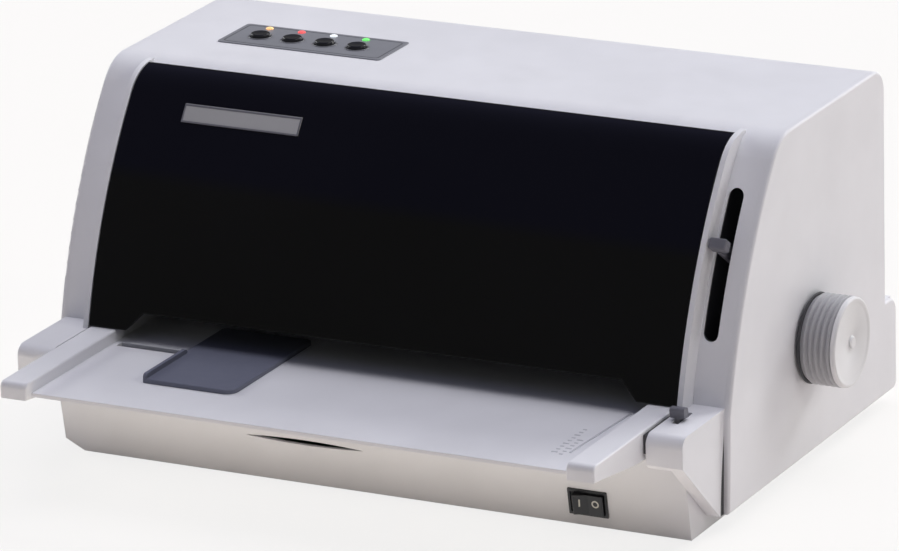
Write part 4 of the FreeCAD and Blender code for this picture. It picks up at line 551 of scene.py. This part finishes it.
def lamp_places():
    """The radius of a status lamp, and the centres of all of them."""
    low, high = limits("status_lamps")
    radius = (high.y - low.y) / 2
    pitch = (high.x - low.x - 2 * radius) / (LAMP_COUNT - 1)
    centres = [(low.x + radius + pitch * number, low.y + radius) for number in range(LAMP_COUNT)]
    return radius, centres


def make_buttons():
    """Round push buttons with dished tops, each in a raised ring on the panel."""
    crown, dish, dish_reach = 0.9 * MM, 0.55 * MM, 0.7
    ring_gap, ring_width = 0.45 * MM, 1.15 * MM
    ring_foot, ring_side = PANEL_HIGH.z - 0.4 * MM, PANEL_HIGH.z + 0.2 * MM
    ring_top = PANEL_HIGH.z + 0.5 * MM
    outer_slope, inner_slope, inner_lip = 0.4 * MM, 0.2 * MM, 0.1 * MM
    for number, node in enumerate(BUTTONS, 1):
        low, high = limits(node)
        centre, radius = middle(node), (high.x - low.x) / 2
        foot = (centre.x, centre.y, 0)
        profile = [(0.0, low.z), (radius, low.z)]
        profile += quarter_round(radius, high.z - crown, crown, crown, steps=6)
        for share in (dish_reach, 0.5, 0.3, 0.1, 0.0):
            profile.append((radius * share, high.z - dish * (1 - share ** 2 / dish_reach)))
        cap = bmesh.new()
        turned(cap, profile, foot, UP)
        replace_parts(piece("button_cap_%d" % number, cap, "button_%d" % number, "button"), node)
        inner = radius + ring_gap
        outer = inner + ring_width
        ring = bmesh.new()
        turned(ring, [(inner, ring_foot), (outer, ring_foot), (outer, ring_side),
                      (outer - outer_slope, ring_top), (inner + inner_slope, ring_top),
                      (inner, ring_side + inner_lip), (inner, ring_foot)], foot, UP)
        piece("button_ring_%d" % number, ring, "root", "plate_grey")


def make_lamps():
    """Four domed lenses in amber, red, clear and green, their brims on the panel's overlay."""
    radius, centres = lamp_places()
    foot = limits("status_lamps")[0].z
    brim, brim_height, dome_height = radius + 0.45 * MM, 0.1 * MM, 0.9 * MM
    clearance = 0.02 * MM
    face = PANEL_HIGH.z + OVERLAY_PROUD + clearance
    profile = [(0.0, foot), (radius, foot), (radius, face), (brim, face)]
    profile += quarter_round(brim, face + brim_height, brim, dome_height, steps=5)
    mesh = bmesh.new()
    for number, (x, y) in enumerate(centres):
        turned(mesh, profile, (x, y, 0), UP, steps=24, finish=number)
    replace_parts(piece("lamp_lenses", mesh, "root", "lamp", *LENSES, smooth=60.0), "status_lamps")


def make_panel_overlay():
    """The panel's overlay: a thin sheet over the recess, with close holes for buttons and lamps."""
    lap, corner, sunk = 0.7 * MM, 2.0 * MM, 0.02 * MM
    button_gap, lamp_gap = 0.35 * MM, 0.1 * MM
    outlines = [rounded((PANEL_LOW.x - lap, PANEL_LOW.y - lap),
                        (PANEL_HIGH.x + lap, PANEL_HIGH.y + lap), corner)]
    lamp_radius, centres = lamp_places()
    for node, (x, y) in zip(BUTTONS, centres):
        low, high = limits(node)
        centre = middle(node)
        outlines.append(circle(centre.x, centre.y, (high.x - low.x) / 2 + button_gap))
        outlines.append(circle(x, y, lamp_radius + lamp_gap, steps=24))
    overlay = flat_curve("panel_overlay", outlines, HOUSING_HIGH.z - sunk,
                         PANEL_HIGH.z + OVERLAY_PROUD, OVERLAY_PROUD)
    overlay.data.materials.append(OVERLAY_GREY)
    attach(overlay, "root")


def make_panel_trim():
    """A thin dark line just inside the edge of the overlay, a little proud of it."""
    inset, width, corner = 1.6 * MM, 0.5 * MM, 2.5 * MM
    foot, top = PANEL_HIGH.z + 0.05 * MM, PANEL_HIGH.z + 0.16 * MM
    outlines = []
    for step in (inset, inset + width):
        outlines.append(rounded((PANEL_LOW.x + step, PANEL_LOW.y + step),
                                (PANEL_HIGH.x - step, PANEL_HIGH.y - step),
                                corner - (step - inset)))
    outer, inner = outlines
    trim = bmesh.new()
    rings = [[trim.verts.new((x, y, z)) for x, y in outline]
             for outline, z in ((outer, foot), (outer, top), (inner, top), (inner, foot))]
    for first, second in zip(rings, rings[1:] + rings[:1]):
        bridge(trim, first, second)
    piece("panel_trim_line", trim, "root", "plate_grey", TRIM_GREY)


# ---------------------------------------------------------------- platen knob

def make_knob():
    """The knob's foot ring, dark as painted shade, its ribbed grip, and its pale cap with a small
    bare centre.
    """
    low, high = limits("knob_grip")
    centre = middle("knob_grip")
    radius = (high.z - low.z) / 2
    base = Vector((0.0, centre.y, centre.z))
    axis = (1, 0, 0)
    foot_end, ribs_start = low.x + 1.2 * MM, low.x + 2.2 * MM
    foot_bore, chamfer, rise = radius - 6 * MM, 0.5 * MM, 0.4 * MM
    foot = bmesh.new()
    turned(foot, [(foot_bore, low.x), (radius - chamfer, low.x), (radius, low.x + rise),
                  (radius, foot_end - rise), (radius - chamfer, foot_end),
                  (foot_bore, foot_end), (foot_bore, low.x)], base, axis, steps=96)
    # The foot ring's dark finish is painted shade between the knob and the side panel.
    piece("knob_base_ring", foot, "platen_knob", "grip", PAINTED_GAP_SHADE)

    ribs, steps, rib_depth = 5, 10, 1.5 * MM
    crest, sharpness = 0.05, 1.6
    bore, core, clearance = 4.2 * MM, radius - 1.6 * MM, 0.2 * MM
    profile = [(bore, low.x + clearance), (core, low.x + clearance), (core, ribs_start - clearance)]
    for number in range(ribs * steps + 1):
        turn = 2 * math.pi * number / steps
        share = crest + (1 - crest) * (0.5 + 0.5 * math.cos(turn)) ** sharpness
        along = ribs_start + (high.x - ribs_start) * number / (ribs * steps)
        profile.append((radius - rib_depth * share, along))
    profile.append((bore, high.x))
    grip = bmesh.new()
    turned(grip, profile, base, axis, steps=120)
    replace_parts(piece("knob_ribbed_grip", grip, "platen_knob", "grip", smooth=60.0), "knob_grip")

    start, end = (corner.x for corner in limits("knob_cap"))
    face, groove = end - 1.2 * MM, end - 1.45 * MM
    boss, rim, rim_round, rim_start = 3.2 * MM, radius - 0.3 * MM, 1.3 * MM, end - 1.7 * MM
    dish_edge, dish_floor, dish_rise = rim - 2.6 * MM, rim - 4.0 * MM, 0.4 * MM
    groove_edge, groove_outer, groove_inner = boss + 1.4 * MM, boss + 1.0 * MM, boss + 0.4 * MM
    profile = [(0.0, start), (rim, start)]
    profile += quarter_round(rim, rim_start, rim_round, rim_round, steps=6)
    profile += [(dish_edge, face + dish_rise), (dish_floor, face), (groove_edge, face),
                (groove_outer, groove), (groove_inner, groove), (boss, face),
                (boss, end - chamfer), (boss - chamfer, end), (0.0, end)]
    cap = bmesh.new()
    turned(cap, profile, base, axis, steps=96)
    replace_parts(piece("knob_cap_disc", cap, "platen_knob", "cap"), "knob_cap")


# ---------------------------------------------------------------- power switch

def make_switch_marks():
    """The moulded stroke and ring of ON and OFF on the two halves of the rocker."""
    low, high = limits("power_rocker")
    centre = middle("power_rocker")
    offset = (high.x - low.x) / 4
    foot, shoulder, top, rim = -0.05 * MM, 0.08 * MM, 0.12 * MM, 0.08 * MM
    stroke_half, stroke_height = 0.4 * MM, 2.1 * MM
    inner, outer, round_off = 1.3 * MM, 2.1 * MM, 0.1 * MM
    mesh = bmesh.new()
    place, normal = on_face("power_rocker", centre.x - offset, centre.z)
    across = Vector(UP).cross(normal).normalized() * -1
    up = normal.cross(across) * -1

    def lift(point):
        """A point of the stroke's own plane, in its place on the rocker."""
        return place + across * point.x + up * point.y + normal * point.z

    block(mesh, (-stroke_half, -stroke_height, foot), (stroke_half, stroke_height, top), rim, lift)
    ring = [(inner, foot), (outer, foot), (outer, shoulder), (outer - round_off, top),
            (inner + round_off, top), (inner, shoulder), (inner, foot)]
    turned(mesh, ring, *on_face("power_rocker", centre.x + offset, centre.z), steps=32)
    piece("switch_marks", mesh, "power_rocker", "switch_black", MARK_WHITE)


# ---------------------------------------------------------------- name plate and table

def make_plate_border():
    """A fine raised border round the bare name plate, following the bow of the cover."""
    low, high = limits("name_plate")
    edge, proud, sunk, margin = 0.8 * MM, 0.12 * MM, 0.1 * MM, 0.02 * MM
    count = 8
    bars = ((low.x, high.x, low.z, low.z + edge), (low.x, high.x, high.z - edge, high.z),
            (low.x, low.x + edge, low.z + edge, high.z - edge),
            (high.x - edge, high.x, low.z + edge, high.z - edge))
    mesh = bmesh.new()
    for left, right, bottom, top in bars:
        rings = []
        for number in range(count + 1):
            z = bottom + (top - bottom) * number / count
            within = min(max(z, low.z + margin), high.z - margin)
            place, normal = on_face("name_plate", (left + right) / 2, within)
            inner, outer = place - normal * sunk, place + normal * proud
            corners = ((left, inner), (right, inner), (right, outer), (left, outer))
            rings.append([mesh.verts.new((x, point.y, z)) for x, point in corners])
        for first, second in zip(rings, rings[1:]):
            bridge(mesh, first, second)
        mesh.faces.new(rings[0])
        mesh.faces.new(rings[-1])
    piece("name_plate_border", mesh, "front_cover", "plate_grey", MATERIALS["lever_grey"])


def make_table_marks():
    """A faint moulded scale beside the right rail: two rows of plain bars and a low strip."""
    low, high = limits("paper_table")
    deck = deck_height()
    right = high.x - 15.4 * MM
    sunk, proud, strip_proud, rim = 0.05 * MM, 0.22 * MM, 0.35 * MM, 0.15 * MM
    pitch, deep, long_half, short_half = 4.4 * MM, 1.1 * MM, 1.7 * MM, 1.1 * MM
    # Distance in from the rail, distance behind the table's front edge, number of bars.
    rows = ((20.0 * MM, 28.0 * MM, 9), (15.5 * MM, 26.0 * MM, 6))
    mesh = bmesh.new()
    for row, (inset, start, count) in enumerate(rows):
        for number in range(count):
            x, y = right - inset, low.y + start + pitch * number
            half = long_half if (number + row) % 3 == 0 else short_half
            block(mesh, (x - half, y, deck - sunk), (x + half, y + deep, deck + proud), rim)
    strip_wide, near, far = 1.0 * MM, 12.6 * MM, 9.4 * MM
    start, end = low.y + 30 * MM, low.y + 96 * MM
    strip = [(right - near, start), (right - near + strip_wide, start),
             (right - far + strip_wide, end), (right - far, end)]
    slab(mesh, strip, deck - sunk, deck + strip_proud, rim)
    piece("table_marks", mesh, "root", "casing", MARK_GREY)


def make_gap_shade():
    """Dark strips standing in the gaps beside the table, and a dark tray under the guide's slot, as
    painted shade.
    """
    low, high = limits("paper_table")
    deck = deck_height()
    gap_start, shade_strip_wide, rim = 168.9 * MM, 1.5 * MM, 0.2 * MM
    near, far = low.y + 57 * MM, low.y + 92 * MM
    foot, top = high.z - 12 * MM, high.z - 2 * MM
    tray_low = (low.x + 17 * MM, low.y + 87.5 * MM, deck - 4.0 * MM)
    tray_high = (low.x + 106 * MM, low.y + 95.5 * MM, deck - 3.35 * MM)
    mesh = bmesh.new()
    for left in (CENTRE_X - gap_start - shade_strip_wide, CENTRE_X + gap_start):
        block(mesh, (left, near, foot), (left + shade_strip_wide, far, top), rim)
    block(mesh, tray_low, tray_high, rim)
    piece("gap_painted_shade", mesh, "root", "casing", PAINTED_GAP_SHADE)


# ---------------------------------------------------------------- rear, underside and inside

def make_contacts():
    """Gold contacts along the tongue of the data socket."""
    low, high = limits("interface_connector")
    count, margin, half_wide, half_thick, rim = 18, 7 * MM, 0.5 * MM, 0.1 * MM, 0.04 * MM
    root_y, tip_y = high.y - 13 * MM, high.y - 6.2 * MM
    row_offset = 1.2 * MM
    centre_z = (low.z + high.z) / 2
    mesh = bmesh.new()
    for z in (centre_z - row_offset, centre_z + row_offset):
        for number in range(count):
            x = low.x + margin + (high.x - low.x - 2 * margin) * number / (count - 1)
            block(mesh, (x - half_wide, root_y, z - half_thick),
                  (x + half_wide, tip_y, z + half_thick), rim)
    piece("data_contacts", mesh, "root", "switch_black", BRASS)


def make_inlet_blades():
    """Steel sleeves on the three blades of the mains inlet."""
    high = limits("mains_inlet")[1]
    centre = middle("mains_inlet")
    pitch, half_wide, half_tall, rim = 7 * MM, 1.15 * MM, 2.65 * MM, 0.25 * MM
    root_y, tip_y = high.y - 13 * MM, high.y - 5.4 * MM
    mesh = bmesh.new()
    for number in (-1, 0, 1):
        x = centre.x + number * pitch
        block(mesh, (x - half_wide, root_y, centre.z - half_tall),
              (x + half_wide, tip_y, centre.z + half_tall), rim)
    piece("inlet_blades", mesh, "root", "switch_black", MATERIALS["steel"])


def make_chips():
    """Black chip bodies with their legs, over the blocks of the main board."""
    low = limits("main_board")[0]
    board_length, board_depth = 220 * MM, 77 * MM
    top = low.z + 1.6 * MM
    cover, stand, rim = 0.15 * MM, 0.6 * MM, 0.4 * MM
    pitch, leg_out, leg_sunk, leg_rim = 2.54 * MM, 0.5 * MM, 0.05 * MM, 0.1 * MM
    leg_half, leg_reach, leg_tall = 0.35 * MM, 0.6 * MM, 1.8 * MM
    # Place over the board's length and depth, then the body's width, depth and height.
    chips = ((0.18, 0.54, 48 * MM, 16 * MM, 4 * MM),
             (0.45, 0.54, 36 * MM, 16 * MM, 4 * MM),
             (0.68, 0.42, 28.8 * MM, 12 * MM, 6 * MM))
    mesh = bmesh.new()
    legs = bmesh.new()
    for across, back, wide, deep, tall in chips:
        x, y = low.x + board_length * across, low.y + board_depth * back
        half_wide, half_deep = wide / 2 + cover, deep / 2 + cover
        block(mesh, (x - half_wide, y - half_deep, top + stand),
              (x + half_wide, y + half_deep, top + tall + cover), rim)
        count = int(wide / pitch)
        for edge in (y - half_deep - leg_out, y + half_deep + leg_out):
            for number in range(count):
                leg = x + (number - (count - 1) / 2) * pitch
                block(legs, (leg - leg_half, edge - leg_reach, top - leg_sunk),
                      (leg + leg_half, edge + leg_reach, top + leg_tall), leg_rim)
    piece("chip_bodies", mesh, "root", "board", CHIP_BLACK)
    piece("chip_legs", legs, "root", "board", MATERIALS["steel"])


def make_ribbon():
    """The inked ribbon, from the cartridge's ends past the carriage and under the head's nose."""
    cartridge_low, cartridge_high = limits("ribbon_cartridge")
    head_low, head_high = limits("print_head")
    centre_x = (head_low.x + head_high.x) / 2
    half = (cartridge_high.x - cartridge_low.x) / 2
    mouth_y, mouth_z = cartridge_high.y, (cartridge_low.z + cartridge_high.z) / 2
    nose_y, nose_z = head_low.y + 16 * MM, head_low.z
    half_width, thickness = 5.5 * MM, 0.15 * MM
    # Distance from the head's middle, place in depth, height, and how flat the ribbon lies.
    stations = [
        (half - 6 * MM, mouth_y - 1 * MM, mouth_z, 0.0),
        (half - 4 * MM, mouth_y + 6 * MM, mouth_z - 2 * MM, 0.15),
        (half - 8 * MM, nose_y - 6 * MM, mouth_z - 14 * MM, 0.55),
        (20 * MM, nose_y, nose_z + 5 * MM, 0.9),
        (9 * MM, nose_y, nose_z - 0.7 * MM, 1.0),
    ]
    left = [(-x, y, z, flat) for x, y, z, flat in stations]
    mesh = bmesh.new()
    rows = []
    for x, y, z, flat in left + stations[::-1]:
        turn = flat * math.pi / 2
        across = Vector((0.0, math.sin(turn), math.cos(turn))) * half_width
        place = Vector((centre_x + x, y, z))
        rows.append([mesh.verts.new(place + across * share) for share in (-1, -0.33, 0.33, 1)])
    for first, second in zip(rows, rows[1:]):
        for column in range(3):
            mesh.faces.new((first[column], first[column + 1], second[column + 1], second[column]))
    made = piece("ink_ribbon", mesh, "carriage", "cartridge", RIBBON, smooth=180.0)
    smoothing = made.modifiers.new("smooth", "SUBSURF")
    smoothing.levels = smoothing.render_levels = 3
    body = made.modifiers.new("thickness", "SOLIDIFY")
    body.thickness = thickness
    body.offset = 0.0


def make_screws():
    """Pan-head screws under the casing. A thin dark cross on each head is painted shade for its
    recess.
    """
    low, high = limits("casing_screws")
    radius = 3 * MM
    arm, half_wide, rim = 1.5 * MM, 0.3 * MM, 0.02 * MM
    proud, sunk = 0.02 * MM, 0.1 * MM
    side, crown = 0.3 * MM, 0.08 * MM
    profile = [(0.0, high.z), (radius, high.z), (radius, high.z - side),
               (radius * 0.75, low.z + crown), (radius * 0.4, low.z), (0.0, low.z)]
    heads = bmesh.new()
    crosses = bmesh.new()
    for x in (low.x + radius, high.x - radius):
        for y in (low.y + radius, high.y - radius):
            turned(heads, profile, (x, y, 0), UP, steps=32)
            for u, v in ((arm, half_wide), (half_wide, arm)):
                block(crosses, (x - u, y - v, low.z - proud), (x + u, y + v, low.z + sunk), rim)
    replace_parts(piece("casing_screw_heads", heads, "root", "steel"), "casing_screws")
    piece("casing_screw_crosses", crosses, "root", "steel", MATERIALS["switch_black"])


# ---------------------------------------------------------------- studio

SENSOR = 36.0
IMAGE_WIDTH = 899
FOCAL_PIXELS = 6939.2
VIEW_TURN, VIEW_RISE, VIEW_ROLL = 27.094, 18.206, -1.507
VIEW_DISTANCE = 3.6035
VIEW_REACH = 50.0
VIEW_TARGET = Vector((0.00015, -0.00275, 0.09742))

FLOOR_REACH = 12.0
FLOOR_TONE = (0.84, 0.77, 0.71)
FLOOR_WHITE = 0.80
WALL_TOP, WALL_BLEND = 0.57, 0.02
WALL_TONE = (0.11, 0.11, 0.095)
ROOM_TONE = (0.085, 0.087, 0.15)
REAR_RIGHT = (0.29, 0.765, 0.573)
CARD_HEIGHT = 0.5 * MM


def sun(name, towards, level, softness, tone=(1, 1, 1), mirrored=True):
    """A far soft lamp in the direction given; a white surface facing it renders at the level."""
    data = bpy.data.lights.new(name, "SUN")
    data.energy = level * math.pi
    data.angle = math.radians(softness)
    data.color = tone
    lamp = bpy.data.objects.new(name, data)
    lamp.rotation_euler = Vector(towards).to_track_quat("Z", "Y").to_euler()
    lamp.visible_glossy = mirrored
    bpy.context.scene.collection.objects.link(lamp)


def card(name, low, high, level, tone):
    """A strip lamp lying on the floor and facing up, in place of a reflector card."""
    data = bpy.data.lights.new(name, "AREA")
    data.shape = "RECTANGLE"
    data.size, data.size_y = high[0] - low[0], high[1] - low[1]
    data.energy = level * math.pi * data.size * data.size_y
    data.color = tone
    lamp = bpy.data.objects.new(name, data)
    lamp.location = ((low[0] + high[0]) / 2, (low[1] + high[1]) / 2, CARD_HEIGHT)
    lamp.rotation_euler = (math.pi, 0, 0)
    lamp.visible_glossy = lamp.visible_camera = False
    bpy.context.scene.collection.objects.link(lamp)


def sky():
    """Dim surroundings: walls up to about 35 degrees, and a darker, bluer ceiling over them."""
    world = bpy.data.worlds.new("studio")
    bpy.context.scene.world = world
    world.use_nodes = True
    tree = world.node_tree
    where = tree.nodes.new("ShaderNodeTexCoord")
    split = tree.nodes.new("ShaderNodeSeparateXYZ")
    ramp = tree.nodes.new("ShaderNodeValToRGB")
    tree.links.new(where.outputs["Generated"], split.inputs[0])
    tree.links.new(split.outputs["Z"], ramp.inputs["Fac"])
    low, high = ramp.color_ramp.elements
    low.position, low.color = WALL_TOP - WALL_BLEND, (*WALL_TONE, 1)
    high.position, high.color = WALL_TOP + WALL_BLEND, (*ROOM_TONE, 1)
    tree.links.new(ramp.outputs["Color"], tree.nodes["Background"].inputs["Color"])


def floor():
    """A wide pale floor that keeps the soft shadow of the printer and reads as white."""
    mesh = bmesh.new()
    bmesh.ops.create_grid(mesh, x_segments=8, y_segments=8, size=FLOOR_REACH)
    data = bpy.data.meshes.new("floor")
    mesh.to_mesh(data)
    mesh.free()
    ground = bpy.data.objects.new("floor", data)
    bpy.context.scene.collection.objects.link(ground)
    made = Finish("floor_paper").mottle(FLOOR_TONE, 0.01, 3.0).polish(0.85, 0.95, 5.0)
    path = made.add("ShaderNodeLightPath")
    seen = made.math("MAXIMUM", path.outputs["Is Camera Ray"], path.outputs["Is Glossy Ray"])
    seen = made.math("MAXIMUM", seen, path.outputs["Is Transmission Ray"])
    share = made.math("MULTIPLY", seen, FLOOR_WHITE)
    white = made.add("ShaderNodeEmission", Strength=1.0)
    mix = made.add("ShaderNodeMixShader", Fac=share)
    made.tree.links.new(made.shader.outputs[0], mix.inputs[1])
    made.tree.links.new(white.outputs[0], mix.inputs[2])
    made.tree.links.new(mix.outputs[0], made.tree.nodes["Material Output"].inputs["Surface"])
    data.materials.append(made.material)


def camera():
    """The viewpoint: in front, to the right and above, with a long lens."""
    turn, rise = math.radians(VIEW_TURN), math.radians(VIEW_RISE)
    back = Vector((math.sin(turn) * math.cos(rise), -math.cos(turn) * math.cos(rise),
                   math.sin(rise)))
    level = Vector((math.cos(turn), math.sin(turn), 0.0))
    frame_axes = Matrix((level, back.cross(level), back)).transposed()
    data = bpy.data.cameras.new("camera")
    data.sensor_width = SENSOR
    data.lens = SENSOR * FOCAL_PIXELS / IMAGE_WIDTH
    data.clip_end = VIEW_REACH
    eye = bpy.data.objects.new("camera", data)
    roll = Matrix.Rotation(math.radians(VIEW_ROLL), 3, "Z")
    place = Matrix.Translation(VIEW_TARGET + back * VIEW_DISTANCE)
    eye.matrix_world = place @ (frame_axes @ roll).to_4x4()
    bpy.context.scene.collection.objects.link(eye)
    bpy.context.scene.camera = eye


dress_nodes()
make_buttons()
make_lamps()
make_panel_overlay()
make_panel_trim()
make_knob()
make_switch_marks()
make_plate_border()
make_table_marks()
make_gap_shade()
make_contacts()
make_inlet_blades()
make_chips()
make_ribbon()
make_screws()
sky()
floor()
sun("rear_right", REAR_RIGHT, 0.20, 24.0)
sun("rear_right_plain", REAR_RIGHT, 0.34, 24.0, mirrored=False)
sun("rear_low", (0.44, 0.88, 0.12), 0.11, 8.0, (1.0, 0.99, 0.95))
sun("right", (0.857, -0.05, 0.515), 0.12, 20.0, (1.0, 0.98, 0.92))
sun("left", (-0.88, 0.28, 0.38), 0.30, 20.0, (0.96, 0.97, 1.0))
sun("overhead", (0.05, 0.18, 0.98), 0.44, 46.0, (0.97, 0.96, 1.0), mirrored=False)
sun("front", (-0.10, -0.80, 0.60), 0.035, 60.0, (0.76, 0.80, 1.0), mirrored=False)
card("front_card", (-0.30, -0.216), (0.17, -0.108), 0.9, (1.0, 0.94, 0.80))
camera()
bpy.context.scene.view_settings.view_transform = "Standard"
